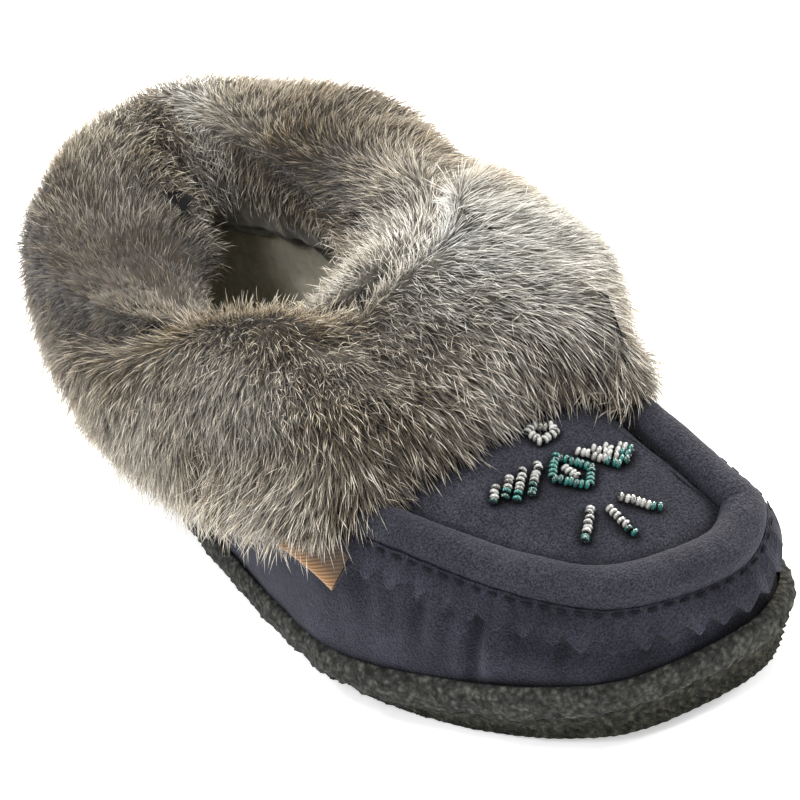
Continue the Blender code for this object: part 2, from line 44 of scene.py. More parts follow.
rng = np.random.default_rng(7)


# Numbers, curves and meshes

def smoothStep(value, start, end):
    # 0 before start, 1 after end, 3s^2 - 2s^3 in between
    share = np.clip((np.asarray(value, float) - start) / (end - start), 0, 1)
    return share * share * (3 - 2 * share)


def unit(vectors):
    # vectors divided by their lengths
    return vectors / np.maximum(np.linalg.norm(vectors, axis=-1, keepdims=True), 1e-9)


def splineAt(points, at, closed=False):
    # Catmull-Rom through rows of points, read at fractional row numbers
    points = np.asarray(points, float)
    count = len(points)
    at = np.asarray(at, float)
    if closed:
        low = np.floor(at).astype(int)
        index = [(low + k) % count for k in (-1, 0, 1, 2)]
    else:
        low = np.clip(np.floor(at).astype(int), 0, count - 2)
        index = [np.clip(low + k, 0, count - 1) for k in (-1, 0, 1, 2)]
    share = (at - low).reshape(-1, *[1] * (points.ndim - 1))
    p0, p1, p2, p3 = (points[k] for k in index)
    return 0.5 * (
        2 * p1
        + (p2 - p0) * share
        + (2 * p0 - 5 * p1 + 4 * p2 - p3) * share**2
        + (3 * p1 - p0 - 3 * p2 + p3) * share**3
    )


def through(points, count):
    # count steps by row number along the spline through rows of points
    return splineAt(points, np.linspace(0, len(points) - 1, count))


def runAlong(curve):
    # the distance along an open curve at each of its points
    return np.concatenate([[0], np.cumsum(np.linalg.norm(np.diff(curve, axis=0), axis=1))])


def readAt(at, run, values):
    # rows of values read between the places where they stand
    return np.stack([np.interp(at, run, column) for column in np.transpose(values)], 1)


def evenSteps(curve, count):
    # count points at equal arc steps along an open curve, its last point left out
    run = runAlong(curve)
    return readAt(np.linspace(0, run[-1], count, endpoint=False), run, curve)


def hump(value, halfWidth=1.0):
    # 1 at nought, e^-(value / halfWidth)^2 away from it
    return np.exp(-((value / halfWidth) ** 2))


def bell(angle, at, halfWidth):
    # a hump by direction, in degrees
    return hump((angle - at + 180) % 360 - 180, halfWidth)


def ringAverage(values, reach):
    # each value of a closed ring averaged with its neighbours on both sides
    total = sum(np.roll(values, k, 0) for k in range(-reach, reach + 1))
    return total / (2 * reach + 1)


def lumps(points, size, seed, octaves=3):
    # soft noise from -1 to 1: sums of sines along turned directions, halved at each octave
    draw = np.random.default_rng(seed)
    total = np.zeros(points.shape[:-1])
    for octave in range(octaves):
        for _ in range(5):
            way = draw.normal(size=3)
            way *= 2**octave * 2 * math.pi / size / np.linalg.norm(way)
            total += np.sin(points @ way + draw.uniform(0, 2 * math.pi)) / 2**octave
    return total / 4.2


def gridFaces(rows, columns, wrapRows=False):
    # the faces of rows of points, each row a closed ring
    r = np.arange(rows if wrapRows else rows - 1)[:, None]
    c = np.arange(columns)[None, :]
    below, beside = (r + 1) % rows, (c + 1) % columns
    corners = (r * columns + c, r * columns + beside, below * columns + beside, below * columns + c)
    return np.stack(np.broadcast_arrays(*corners), -1).reshape(-1, 4)


def endCaps(rows, columns):
    # the faces that close the first and the last row
    return [tuple(range(columns)), tuple((rows - 1) * columns + k for k in range(columns))[::-1]]


def rungs(start, columns, up):
    # a ring round the sole closed by rungs from its outer side to its inner side
    half = columns // 2
    k = np.arange(1, half - 1)
    faces = np.stack([k, k + 1, columns - k - 1, columns - k], 1) + start
    ends = [(start, start + 1, start + columns - 1), (start + half - 1, start + half, start + half + 1)]
    turn = 1 if up else -1
    return [tuple(face)[::turn] for face in [*faces.tolist(), *ends]]


def plates(rows, columns):
    # the rungs that close the first and the last row
    return rungs(0, columns, False) + rungs((rows - 1) * columns, columns, True)


def addMesh(name, points, faces, material, smooth=True, uv=None, extra=()):
    # a piece from points in millimetres, an array of faces and a list of extra ones
    mesh = bpy.data.meshes.new(name)
    mesh.vertices.add(points.size // 3)
    mesh.vertices.foreach_set("co", (points.astype(np.float32) * mm).ravel())
    loops = np.concatenate([faces.ravel(), np.array([k for face in extra for k in face], int)])
    sides = np.concatenate([np.full(len(faces), faces.shape[1]), [len(face) for face in extra]])
    starts = np.concatenate([[0], np.cumsum(sides)[:-1]])
    mesh.loops.add(len(loops))
    mesh.loops.foreach_set("vertex_index", loops.astype(np.int32))
    mesh.polygons.add(len(sides))
    mesh.polygons.foreach_set("loop_start", starts.astype(np.int32))
    mesh.polygons.foreach_set("use_smooth", np.full(len(sides), smooth))
    mesh.update(calc_edges=True)
    if uv is not None:
        layer = mesh.uv_layers.new(name="UVMap")
        layer.data.foreach_set("uv", uv.astype(np.float32)[loops].ravel())
    mesh.materials.append(material)
    piece = bpy.data.objects.new(name, mesh)
    bpy.context.scene.collection.objects.link(piece)
    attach(piece, "root")
    return piece


def addAttribute(piece, name, values):
    # three numbers at each point
    layer = piece.data.attributes.new(name, "FLOAT_VECTOR", "POINT")
    layer.data.foreach_set("vector", values.astype(np.float32).ravel())


def triangleCount(piece):
    # a face of n corners is n - 2 triangles
    return len(piece.data.loops) - 2 * len(piece.data.polygons)


# Materials

def colour(text):
    # sRGB hex to linear RGBA
    parts = [int(text[k:k + 2], 16) / 255 for k in (1, 3, 5)]
    linear = [c / 12.92 if c <= 0.04045 else ((c + 0.055) / 1.055) ** 2.4 for c in parts]
    return (*linear, 1.0)


def fill(tree, made, sockets):
    # each socket is given a value, or another node's output
    for socket, source in sockets.items():
        if isinstance(source, bpy.types.NodeSocket):
            tree.links.new(source, made.inputs[socket])
        else:
            made.inputs[socket].default_value = source


def node(tree, kind, sockets=(), **settings):
    made = tree.nodes.new(kind)
    for key, value in settings.items():
        setattr(made, key, value)
    fill(tree, made, dict(sockets))
    return made


def ramp(tree, factor, stops):
    # a colour ramp through stops of place and hex
    made = node(tree, "ShaderNodeValToRGB", {"Fac": factor})
    bar = made.color_ramp
    while len(bar.elements) < len(stops):
        bar.elements.new(0.5)
    for element, (place, shade) in zip(bar.elements, stops):
        element.position = place
        element.color = colour(shade)
    return made.outputs["Color"]


def noise(tree, place, scale, detail=2.0, roughness=0.5):
    sockets = {"Vector": place, "Scale": scale, "Detail": detail, "Roughness": roughness}
    return node(tree, "ShaderNodeTexNoise", sockets).outputs["Fac"]


def mixed(tree, factor, first, second, blend="MULTIPLY"):
    sockets = {0: factor, 6: first, 7: second}
    return node(tree, "ShaderNodeMix", sockets, data_type="RGBA", blend_type=blend).outputs[2]


def times(tree, first, second):
    return node(tree, "ShaderNodeMath", {0: first, 1: second}, operation="MULTIPLY").outputs[0]


def bump(tree, height, strength, distance, **under):
    sockets = {"Height": height, "Strength": strength, "Distance": distance, **under}
    return node(tree, "ShaderNodeBump", sockets).outputs["Normal"]


def newMaterial(name):
    made = bpy.data.materials.new(name)
    made.use_nodes = True
    return made, made.node_tree, made.node_tree.nodes["Principled BSDF"]


def objectPlace(tree):
    return node(tree, "ShaderNodeTexCoord").outputs["Object"]


def threeParts(tree, name):
    # the three numbers of a vector attribute of the mesh
    vector = node(tree, "ShaderNodeAttribute", attribute_name=name).outputs["Vector"]
    return node(tree, "ShaderNodeSeparateXYZ", {0: vector}).outputs


def brushedSuede(name, dark, mid, light):
    # split cowhide, buffed: a matt nap whose hairs lie in patches, darker where they point away, with painted
    # shade in its folds
    made, tree, shader = newMaterial(name)
    place = objectPlace(tree)
    nap = noise(tree, place, 55.0, 5.0, 0.62)
    fine = noise(tree, place, 2000.0, 2.0, 0.6)
    pile = noise(tree, place, 1500.0)
    patches = ramp(tree, nap, ((0.30, dark), (0.5, mid), (0.72, light)))
    grain = ramp(tree, fine, ((0.36, "#5c5c62"), (0.64, "#ffffff")))
    # painted shade: the colour is darkened by ambient occlusion in folds, under the strip and wherever
    # another layer stands over it
    foldOcclusion = node(tree, "ShaderNodeAmbientOcclusion", {"Distance": 0.0045}, samples=8).outputs["AO"]
    paintedFoldShade = ramp(tree, foldOcclusion, ((0.45, "#18181d"), (0.72, "#90909a"), (0.93, "#ffffff")))
    fill(tree, shader, {
        "Base Color": mixed(tree, 1.0, mixed(tree, 0.9, patches, grain), paintedFoldShade),
        "Roughness": 0.95,
        "Specular IOR Level": 0.2,
        "Sheen Weight": 0.22,
        "Sheen Roughness": 0.5,
        "Sheen Tint": colour("#9395a8"),
        "Normal": bump(tree, nap, 0.35, 0.0012, Normal=bump(tree, pile, 0.9, 0.0006)),
    })
    return made


def crumbRubber(name, dark, mid, light):
    # expanded crepe rubber, torn while it sets: dull granules about 1 mm across
    made, tree, shader = newMaterial(name)
    place = objectPlace(tree)
    crumbs = node(tree, "ShaderNodeTexVoronoi", {"Vector": place, "Scale": 620.0}).outputs["Distance"]
    grit = noise(tree, place, 420.0, 4.0, 0.7)
    shades = ramp(tree, grit, ((0.34, dark), (0.5, mid), (0.66, light)))
    # painted shade: darker between the crumbs
    crumbGapShade = ramp(tree, crumbs, ((0.25, "#ffffff"), (0.75, "#8a8a86")))
    fill(tree, shader, {
        "Base Color": mixed(tree, 0.8, shades, crumbGapShade),
        "Roughness": 0.92,
        "Specular IOR Level": 0.25,
        "Normal": bump(tree, times(tree, crumbs, grit), 1.0, 0.0016),
    })
    return made


def pileLining(name, dark, mid, light):
    # a short matted pile: knitted fleece worn flat underfoot, or the back of the hide
    made, tree, shader = newMaterial(name)
    place = objectPlace(tree)
    tufts = noise(tree, place, 260.0, 5.0, 0.65)
    fill(tree, shader, {
        "Base Color": ramp(tree, tufts, ((0.3, dark), (0.55, mid), (0.75, light))),
        "Roughness": 0.95,
        "Sheen Weight": 0.3,
        "Normal": bump(tree, tufts, 0.6, 0.0008),
    })
    return made


def satinRibbon():
    # polyester satin with a diagonal weave, golden tan at its lower fold and darker up towards the seam by
    # painted shade, where the loop goes under the fur
    made, tree, shader = newMaterial("satinRibbon")
    place = node(tree, "ShaderNodeUVMap", uv_map="UVMap").outputs["UV"]
    sockets = {"Vector": place, "Scale": 0.5, "Distortion": 0.6}
    weft = node(tree, "ShaderNodeTexWave", sockets, bands_direction="DIAGONAL").outputs["Fac"]
    threads = ramp(tree, weft, ((0.1, "#a89f92"), (0.9, "#ffffff")))
    share = times(tree, node(tree, "ShaderNodeSeparateXYZ", {0: place}).outputs[1], 1 / ribbonRun)
    # painted shade: the loop darkens from its lower fold towards both of its ends, under the fur
    tanAndFurShade = ramp(tree, share, ((0.18, "#3f2e1c"), (0.36, "#5d4529"), (0.5, "#a57c4d"), (0.75, "#3f2e1c")))
    fill(tree, shader, {
        "Base Color": mixed(tree, 1.0, tanAndFurShade, threads),
        "Roughness": 0.42,
        "Sheen Weight": 0.12,
        "Normal": bump(tree, weft, 0.3, 0.0002),
    })
    return made


def seedGlass(name, hole, body, paintedCrownLight, clear):
    # drawn soda-lime glass cut into rings and fire-polished; its colour carries a painted highlight round the
    # crown, and painted shade and a painted refraction of the dark lining and thread towards the hole; the
    # bead attribute holds crown share and bead number
    made, tree, shader = newMaterial(name)
    height, each, _ = threeParts(tree, "seedShadeAndTone")
    # painted shade towards the hole and between beads, painted highlight at the crown
    shades = ramp(tree, height, ((0.60, hole), (0.80, body), (0.97, paintedCrownLight)))
    lot = ramp(tree, each, ((0.0, "#8f8f88"), (0.4, "#dedede"), (1.0, "#ffffff")))
    sockets = {"Roughness": 0.05, "IOR": 1.5, "Transmission Weight": clear}
    fill(tree, shader, {"Base Color": mixed(tree, 1.0, shades, lot), **sockets})
    return made


def waxedThread(name, dark, light):
    # braided polyester drawn through wax: nearly black and dull
    made, tree, shader = newMaterial(name)
    place = objectPlace(tree)
    shades = ramp(tree, noise(tree, place, 1800.0), ((0.3, dark), (0.7, light)))
    fill(tree, shader, {"Base Color": shades, "Roughness": 0.8, "Specular IOR Level": 0.15})
    return made


def rabbitHair(name, roots, middles, tips, least, roughness):
    # undyed rabbit: slate roots, a brown band and pale tips; the attribute holds root-to-tip, a number for
    # each hair (its own tone with painted shade and painted light by region), and how far its patch of hide
    # has gone blue-grey
    made, tree, shader = newMaterial(name)
    along, each, patch = threeParts(tree, "strandShadeAndTone")
    warm, cool = (
        ramp(tree, along, ((0.1, roots[k]), (0.5, middles[k]), (0.8, tips[k])))
        for k in (0, 1)
    )
    # the number for each hair scales its colour: its own tone, and painted shade and painted light by region
    # of the cuff
    toneAndPaintedShade = ramp(tree, each, ((0.0, least), (0.6, "#d2cbc0"), (1.0, "#ffffff")))
    fill(tree, shader, {
        "Base Color": mixed(tree, 1.0, mixed(tree, patch, warm, cool, "MIX"), toneAndPaintedShade),
        "Roughness": roughness,
        "Specular IOR Level": 0.3,
        "Sheen Weight": 0.25,
        "Subsurface Weight": 0.4,  # thin hair lets light through
        "Subsurface Radius": (1.0, 0.9, 0.75),
        "Subsurface Scale": 0.0006,
    })
    return made


# The last: the sole's outline and the upper's sections, with the model's own sizes

last = {
    "soleLength": 260.0,
    "outsoleTop": 8.0,  # where the outsole meets the foxing, above the floor
    "foxingTop": 18.4,
    "gap": 0.35,
    "wall": 2.2,
    "toeSpring": (5.3, -57.0, 73.0),  # lift at the tip, y where it starts, run
    "arch": (1.6, 42.0, 32.0),  # lift, y of its middle, half length
    "seamLift": (2.2, -95.0, -125.0),
    "heelX": 5.0,
    "toeX": 13.7,
    # share of length from the heel, outer side, inner side, tuck of the outsole
    "halfWidths": (
        (0.030, 18, 27, 0.0),
        (0.12, 28.5, 36, 1.0),
        (0.25, 39, 40, 3.5),
        (0.40, 48.5, 41.5, 6.0),
        (0.55, 56, 43, 6.0),
        (0.68, 58.5, 42, 4.5),
        (0.80, 48, 40, 1.0),
        (0.90, 34.5, 39, 0.0),
        (0.965, 18, 35, 0.0),
    ),
    "upperFoot": ((3.5, 8.3), (3.3, 18.4), (3.1, 27.0)),  # inset, height
    "apronRise": 0.32,
    "stitchLine": (4.4, 38.6, -120.0),  # inset, height at a place, that place's y
    "plugLine": (15.4, 46.0, -105.0),
    "riseEases": (-62.0, -8.0),
    "heelWall": ((4.0, 42.0), (6.0, 56.0)),
    "apronFades": (12.0, -44.0),
    "plugRows": (0.22, 0.48, 0.74, 1.0),
    "plugCrown": 5.5,
    "heelCrown": 1.5,
    "collarCentre": (1.0, 55.0),
    "collarHalf": (31.0, 63.0),
    "squareness": 2.5,
    "evenness": 0.5,
    "collarHeight": ((-8, 77), (20, 73), (55, 70), (90, 74), (118, 79)),  # y, height
    "modelSections": 72,
}


def soleOutline(count):
    # (points, inward normals) round the sole: heel, outer side, toe, inner side
    half = last["soleLength"] / 2
    widths = last["halfWidths"]
    outer = [(-row[1], half - row[0] * last["soleLength"]) for row in widths]
    inner = [(row[2], half - row[0] * last["soleLength"]) for row in reversed(widths)]
    corners = [(last["heelX"], half), *outer, (last["toeX"], -half), *inner]
    perSpan = 40
    curve = splineAt(corners, np.arange(len(corners) * perSpan) / perSpan, closed=True)
    tip = (len(outer) + 1) * perSpan
    toToe = evenSteps(curve[:tip + 1], count // 2)
    toHeel = evenSteps(np.concatenate([curve[tip:], curve[:1]]), count // 2)
    points = np.concatenate([toToe, toHeel])
    along = unit(np.roll(points, -1, 0) - np.roll(points, 1, 0))
    return points, np.stack([-along[:, 1], along[:, 0]], 1)


def toeLift(y):
    # the toe spring grows with the square of the way past its start
    lift, start, run = last["toeSpring"]
    return lift * np.clip((start - y) / run, 0, None) ** 2


def archLift(y):
    # (1 - s^2)^2 on both sides of the arch's middle
    lift, middle, half = last["arch"]
    return lift * (1 - np.clip(np.abs(y - middle) / half, 0, 1) ** 2) ** 2


def tuck(y):
    # how far the outsole is tucked in under the foot
    table = np.array(last["halfWidths"])
    return np.interp(last["soleLength"] / 2 - y, table[:, 0] * last["soleLength"], table[:, 3])


def soleRing(outline, inward, inset, height, arched=False):
    # a ring round the sole at an inset from its edge, lifted with the toe spring
    inset = np.broadcast_to(inset, len(outline))[:, None]
    plan = outline + inward * inset
    top, foxingTop = last["outsoleTop"], last["foxingTop"]
    nearSeam = np.interp(height, (0, top, top + 4.5, foxingTop), (0, 1, 1, 0))
    lift, *span = last["seamLift"]
    z = height + toeLift(plan[:, 1]) + nearSeam * lift * smoothStep(plan[:, 1], *span)
    if arched:
        z = z + archLift(plan[:, 1])
    return np.column_stack([plan, z])


def apronHeight(y, height, atY):
    # the apron seam climbs in a line and then levels off
    eases, ends = last["riseEases"]
    span = ends - eases
    past = np.clip(y - eases, 0, span)
    return height + last["apronRise"] * (np.minimum(y, eases) - atY + past - past**2 / (2 * span))


def collarAngle(plan):
    # direction from the collar's centre: 0 the heel, a quarter turn the outer side
    x = (plan[:, 0] - last["collarCentre"][0]) / last["collarHalf"][0]
    y = (plan[:, 1] - last["collarCentre"][1]) / last["collarHalf"][1]
    return np.arctan2(-x, y) % (2 * math.pi)


def collarRing(outline):
    # a superellipse in plan, met by each section at its own direction, evened out
    direct = collarAngle(outline)
    even = np.linspace(0, 2 * math.pi, len(outline), endpoint=False)
    direct -= 2 * math.pi * np.round((direct - even) / (2 * math.pi))
    angle = direct * (1 - last["evenness"]) + even * last["evenness"]
    sine, cosine = np.sin(angle), np.cos(angle)
    power = 2 / last["squareness"]
    x = last["collarCentre"][0] - last["collarHalf"][0] * np.sign(sine) * np.abs(sine) ** power
    y = last["collarCentre"][1] + last["collarHalf"][1] * np.sign(cosine) * np.abs(cosine) ** power
    table = np.array(last["collarHeight"], float)
    curve = through(table, 49)
    return np.column_stack([x, y, np.interp(y, curve[:, 0], curve[:, 1])])


def upperRows(count):
    # rows of the upper's outer face from its foot to the collar, rows x sections x 3
    outline, inward = soleOutline(count)
    rows = [soleRing(outline, inward, inset, height) for inset, height in last["upperFoot"]]
    front = smoothStep(outline[:, 1], *last["apronFades"])[:, None]
    seam = []
    lines = (last["stitchLine"], last["plugLine"])
    for (inset, height, atY), (heelInset, heelHeight) in zip(lines, last["heelWall"]):
        plan = outline + inward * inset
        onApron = np.column_stack([plan, apronHeight(plan[:, 1], height, atY)])
        onHeel = np.column_stack([outline + inward * heelInset, np.full(count, heelHeight)])
        seam.append(onApron * front + onHeel * (1 - front))
    stitch, plug = seam
    rows += [stitch, (stitch + plug) / 2, plug]
    collar = collarRing(outline)
    rise = np.column_stack([np.zeros((count, 2)), np.ones(count)])
    outward = np.column_stack([-inward, np.zeros(count)])
    bulge = rise * front * last["plugCrown"] + outward * (1 - front) * last["heelCrown"]
    for share in last["plugRows"]:
        rows.append(plug + (collar - plug) * share + bulge * 4 * share * (1 - share))
    return np.array(rows)


stitchRow = len(last["upperFoot"])
plugRow = stitchRow + 2
fineSections = 10 * last["modelSections"]


def gridNormals(rows):
    # outward normals of a grid of rows right round the shoe
    along = np.roll(rows, -1, 1) - np.roll(rows, 1, 1)
    return unit(np.cross(along, np.gradient(rows, axis=0)))


def alongSections(rows, normals, firstRow, distance):
    # points and normals at a distance down every section, counted from one of its rows
    order = np.arange(firstRow, -1, -1)
    lines = rows[order]
    steps = np.linalg.norm(np.diff(lines, axis=0), axis=2)
    run = np.concatenate([np.zeros((1, rows.shape[1])), np.cumsum(steps, 0)])
    distance = np.clip(np.broadcast_to(distance, rows.shape[1]), 0, run[-1] - 1e-6)
    low = np.clip((run <= distance).sum(0) - 1, 0, len(order) - 2)
    columns = np.arange(rows.shape[1])
    share = ((distance - run[low, columns]) / (run[low + 1, columns] - run[low, columns]))[:, None]
    points = lines[low, columns] * (1 - share) + lines[low + 1, columns] * share
    facing = normals[order][low, columns] * (1 - share) + normals[order][low + 1, columns] * share
    return points, unit(facing)


def modelRun(count):
    # section numbers of the 72-section model at each of count finer sections
    return np.arange(count) * last["modelSections"] / count


# Fur cuff: its form by direction from the collar's centre, 0 the heel and 90 the outer side

cuff = {
    # angle, over the collar, out, into, skirt, flap
    "form": (
        (0, 27, 22, 36, 15, 52),
        (30, 25, 21, 40, 14, 51),
        (60, 25, 24, 34, 15, 52),
        (90, 18, 27, 16, 18, 52),
        (108, 8, 25, 5, 16, 59),
        (121, 5, 24, 2, 15, 77),
        (130, 5, 23, 2, 14, 75),
        (138, 9, 23, 5, 13, 63),
        (155, 12, 21, 8, 13, 57),
        (180, 15, 24, 14, 14, 53),
        (205, 18, 32, 13, 20, 64),
        (226, 21, 35, 8, 17, 84),
        (245, 30, 39, 5, 20, 64),
        (270, 42, 41, 5, 20, 52),
        (300, 38, 37, 16, 18, 50),
        (325, 35, 31, 30, 16, 50),
        (345, 30, 25, 36, 15, 51),
    ),
    # how far up the inner side of the fold the lining shows, in rows of the profile, by angle
    "bare": ((0, 1.1), (80, 1.2), (115, 2.4), (200, 2.4), (240, 2.5), (300, 2.4), (335, 1.6), (360, 1.1)),
    "spine": (12.0, 10.0, 62.0),  # the line inside the collar the fold bulges towards: x, y from, y to
    "creases": ((157, 8, 8), (214, 9, 3), (334, 9, 7)),  # angle, half width, depth
    "groove": (108, 44, 7),  # the parting along the outer side: angle, half width, depth
    # swellings of the pile: angle, half width, row of the profile, half rows, height
    "swells": (
        (229, 8, 10.1, 0.8, 3.2),
        (224, 6, 11.3, 0.7, -4.5),
        (219, 6, 12.6, 0.9, 4.5),
        (269, 13, 7.0, 1.3, 5.4),
        (32, 16, 7.0, 1.5, -2.6),
        (60, 12, 9.0, 1.2, -2.0),
    ),
    "upright": 0.8,
    # down the inner face: how far below the collar, how far off the wall, share of the fullness
    "inside": ((16.0, 3.0, 0.0), (6.0, 0.0, 0.45)),
    # down the outer face: share of the flap, share of the fold's fullness, thickness
    "outside": ((0.3, 1.0, 1.0), (0.6, 0.8, 1.0), (0.85, 0.45, 1.0), (1.0, 0.0, 0.75)),
    "tuckedUnder": (3.0, 0.35),  # the hem's last row: how far past the flap, share of the skirt
    "sections": 360,
    "rowsAcross": 90,
    "skinDepth": 2.2,  # how far the hide with its short wool lies inside the model's surface
}


def cuffValues(collar):
    # over, out, into, skirt and flap at each section: a smooth curve through the table, pinched
    angle = np.degrees(collarAngle(collar[:, :2]))
    table = np.array(cuff["form"], float)
    turn = np.array([360, 0, 0, 0, 0, 0])
    table = np.concatenate([table[-1:] - turn, table, table[:2] + turn])
    curve = through(table, 10 * (len(table) - 1) + 1)
    values = readAt(angle, curve[:, 0], curve[:, 1:])
    for at, halfWidth, depth in cuff["creases"]:
        pinch = depth * bell(angle, at, halfWidth)
        values[:, 0] -= 0.6 * pinch
        values[:, 1] -= pinch
        values[:, 3] -= 0.4 * pinch
    return values


def cuffSurface(count):
    # the fur's visible profile at each section, from deep inside the collar over the fold
    # to the hem: points x sections x 3
    rows = upperRows(count)
    normals = gridNormals(rows)
    reachOver = max(1, round(3 * count / last["modelSections"]))
    collar = rows[-1]
    over, out, into, skirt, flap = cuffValues(collar).T
    at, halfWidth, depth = cuff["groove"]
    groove = depth * bell(np.degrees(collarAngle(collar[:, :2])), at, halfWidth)
    reach = unit(collar - rows[-2]) + np.array((0, 0, cuff["upright"]))
    reach = unit(ringAverage(reach, reachOver))
    facing = ringAverage(normals[-1], reachOver)
    facing = unit(facing - reach * np.sum(facing * reach, 1)[:, None])
    spineX, *spineY = cuff["spine"]
    spine = np.column_stack([np.full(count, spineX), np.clip(collar[:, 1], *spineY), collar[:, 2]])
    toSpine = unit(ringAverage(unit(spine - collar), reachOver))
    top = len(rows) - 1
    wall = last["wall"]
    lines = []
    for depth, clear, fullness in cuff["inside"]:
        points, way = alongSections(rows, normals, top, depth)
        lines.append(points - way * (wall + clear + fullness * into[:, None]))
    for degrees in (180, 148, 118, 90, 62, 32, 0):
        angle = math.radians(degrees)
        if degrees > 90:
            side = toSpine * (-(into + wall) * math.cos(angle))[:, None]
        else:
            side = facing * ((out - (groove if degrees == 0 else 0)) * math.cos(angle))[:, None]
        offset = side + reach * (over * math.sin(angle))[:, None]
        lines.append(collar + ringAverage(offset, reachOver))
    for share, fullness, thick in cuff["outside"]:
        points, way = alongSections(rows, normals, top, flap * share)
        thickness = (skirt + (out - skirt) * fullness) * thick
        lines.append(points + ringAverage(way * thickness[:, None], reachOver))
    past, share = cuff["tuckedUnder"]
    points, way = alongSections(rows, normals, top, flap + past)
    lines.append(points + way * (share * skirt)[:, None])
    profile = np.stack(lines)
    outward = -gridNormals(profile)
    angle = np.degrees(collarAngle(collar[:, :2]))
    row = np.arange(len(profile))[:, None]
    for at, halfWidth, middle, halfRows, height in cuff["swells"]:
        swell = height * bell(angle, at, halfWidth) * hump(row - middle, halfRows)
        profile = profile + outward * swell[:, :, None]
    return profile


# Camera, light and floor

view = {
    # degrees and millimetres
    "azimuth": -32.131,
    "elevation": 32.09,
    "roll": -13.692,
    "lens": 91.107,
    "distance": 578.739,
    "target": (11.984, 3.6, 40.0),
}


def stand(made, right, up, back, place):
    # an object placed by its own axes, in metres
    matrix = np.eye(4)
    matrix[:3] = np.column_stack([right, up, back, place])
    made.matrix_world = Matrix(matrix.tolist())
    bpy.context.scene.collection.objects.link(made)


def makeCamera():
    az, el, roll = (math.radians(view[k]) for k in ("azimuth", "elevation", "roll"))
    back = np.array((math.sin(az) * math.cos(el), -math.cos(az) * math.cos(el), math.sin(el)))
    level = np.array((math.cos(az), math.sin(az), 0))
    upright = np.cross(back, level)
    right = level * math.cos(roll) + upright * math.sin(roll)
    up = -level * math.sin(roll) + upright * math.cos(roll)
    place = (np.array(view["target"]) + back * view["distance"]) * mm
    data = bpy.data.cameras.new("view")
    data.lens = view["lens"]
    data.sensor_width = 36
    data.clip_start = 0.01
    camera = bpy.data.objects.new("view", data)
    stand(camera, right, up, back, place)
    bpy.context.scene.camera = camera


lights = (
    # name, place in metres, size, power, colour
    ("overheadSoftbox", (-0.3, 0.2, 1.1), 0.5, 12.0, "#ffffff"),
    ("frontKey", (0.65, -0.6, 0.55), 0.25, 4.0, "#ffffff"),
    ("outerSideFill", (-0.75, -0.3, 1.0), 0.3, 4.0, "#fbfaff"),
    ("backRim", (0.95, 0.6, 0.65), 0.6, 24.0, "#fff2dc"),
)
lightsAim = (0, 0, 0.03)


def makeLights():
    for name, place, size, power, shade in lights:
        data = bpy.data.lights.new(name, "AREA")
        data.size = size
        data.energy = power
        data.color = colour(shade)[:3]
        back = unit(np.array(place) - lightsAim)
        side = unit(np.cross((0, 0, 1), back))
        stand(bpy.data.objects.new(name, data), side, np.cross(back, side), back, place)
    world = bpy.data.worlds.new("studio")
    world.use_nodes = True
    sockets = {"Color": colour("#ffffff"), "Strength": 0.8}
    fill(world.node_tree, world.node_tree.nodes["Background"], sockets)
    bpy.context.scene.world = world


def makeFloor():
    # a wide square just under the shoe
    size = 30.0
    mesh = bpy.data.meshes.new("floor")
    corners = [(-size, -size, 0), (size, -size, 0), (size, size, 0), (-size, size, 0)]
    mesh.from_pydata(corners, [], [(0, 1, 2, 3)])
    # opal acrylic, lit a little from below so that shadows stay faint
    made, tree, shader = newMaterial("opalAcrylic")
    place = objectPlace(tree)
    fill(tree, shader, {
        "Base Color": ramp(tree, noise(tree, place, 300.0), ((0.0, "#fafafa"), (1.0, "#ffffff"))),
        "Roughness": 0.9,
        "Specular IOR Level": 0.1,
        "Emission Color": colour("#ffffff"),
        "Emission Strength": 0.4,
    })
    mesh.materials.append(made)
    floor = bpy.data.objects.new("floor", mesh)
    floor.location.z = -0.1 * mm
    bpy.context.scene.collection.objects.link(floor)


bpy.context.scene.view_settings.view_transform = "Standard"
makeCamera()
makeLights()
makeFloor()
print("camera, light and floor are set")


# Finishes

wallSuede = brushedSuede("napSuede", "#1d1e26", "#2b2c36", "#3b3c48")
# painted shadow: a near-black copy of the suede for the strip's notches, standing in for the shade under the
# teeth
notchShadowSuede = brushedSuede("notchShadowSuede", "#07070a", "#0c0c10", "#131318")
plugSuede = brushedSuede("plugSuede", "#2a2b32", "#36373f", "#45464e")
foxingCrepe = crumbRubber("crumbCrepe", "#1f1f1d", "#393a37", "#5a5a54")
outsoleCrepe = crumbRubber("crumbCrepeDark", "#1a1a16", "#2f2f29", "#4a4a40")
fleece = pileLining("knittedFleece", "#9d9884", "#b5af9b", "#c6c0ad")
hideBack = pileLining("hideBack", "#3a362b", "#4a463a", "#57524a")
ribbonSatin = satinRibbon()
# painted light: each glass is darkened towards its hole by painted shade and whitened round its crown by a
# painted highlight
clearGlass = seedGlass("clearGlass", "#1b1913", "#b3b0a0", "#ffffff", 0.6)
tealGlass = seedGlass("tealGlass", "#011a18", "#06504c", "#238579", 0.35)
seamThread = waxedThread("seamThread", "#0c0d11", "#1c1d24")


# Upper: one wall from the sole to the collar, gathered under the apron

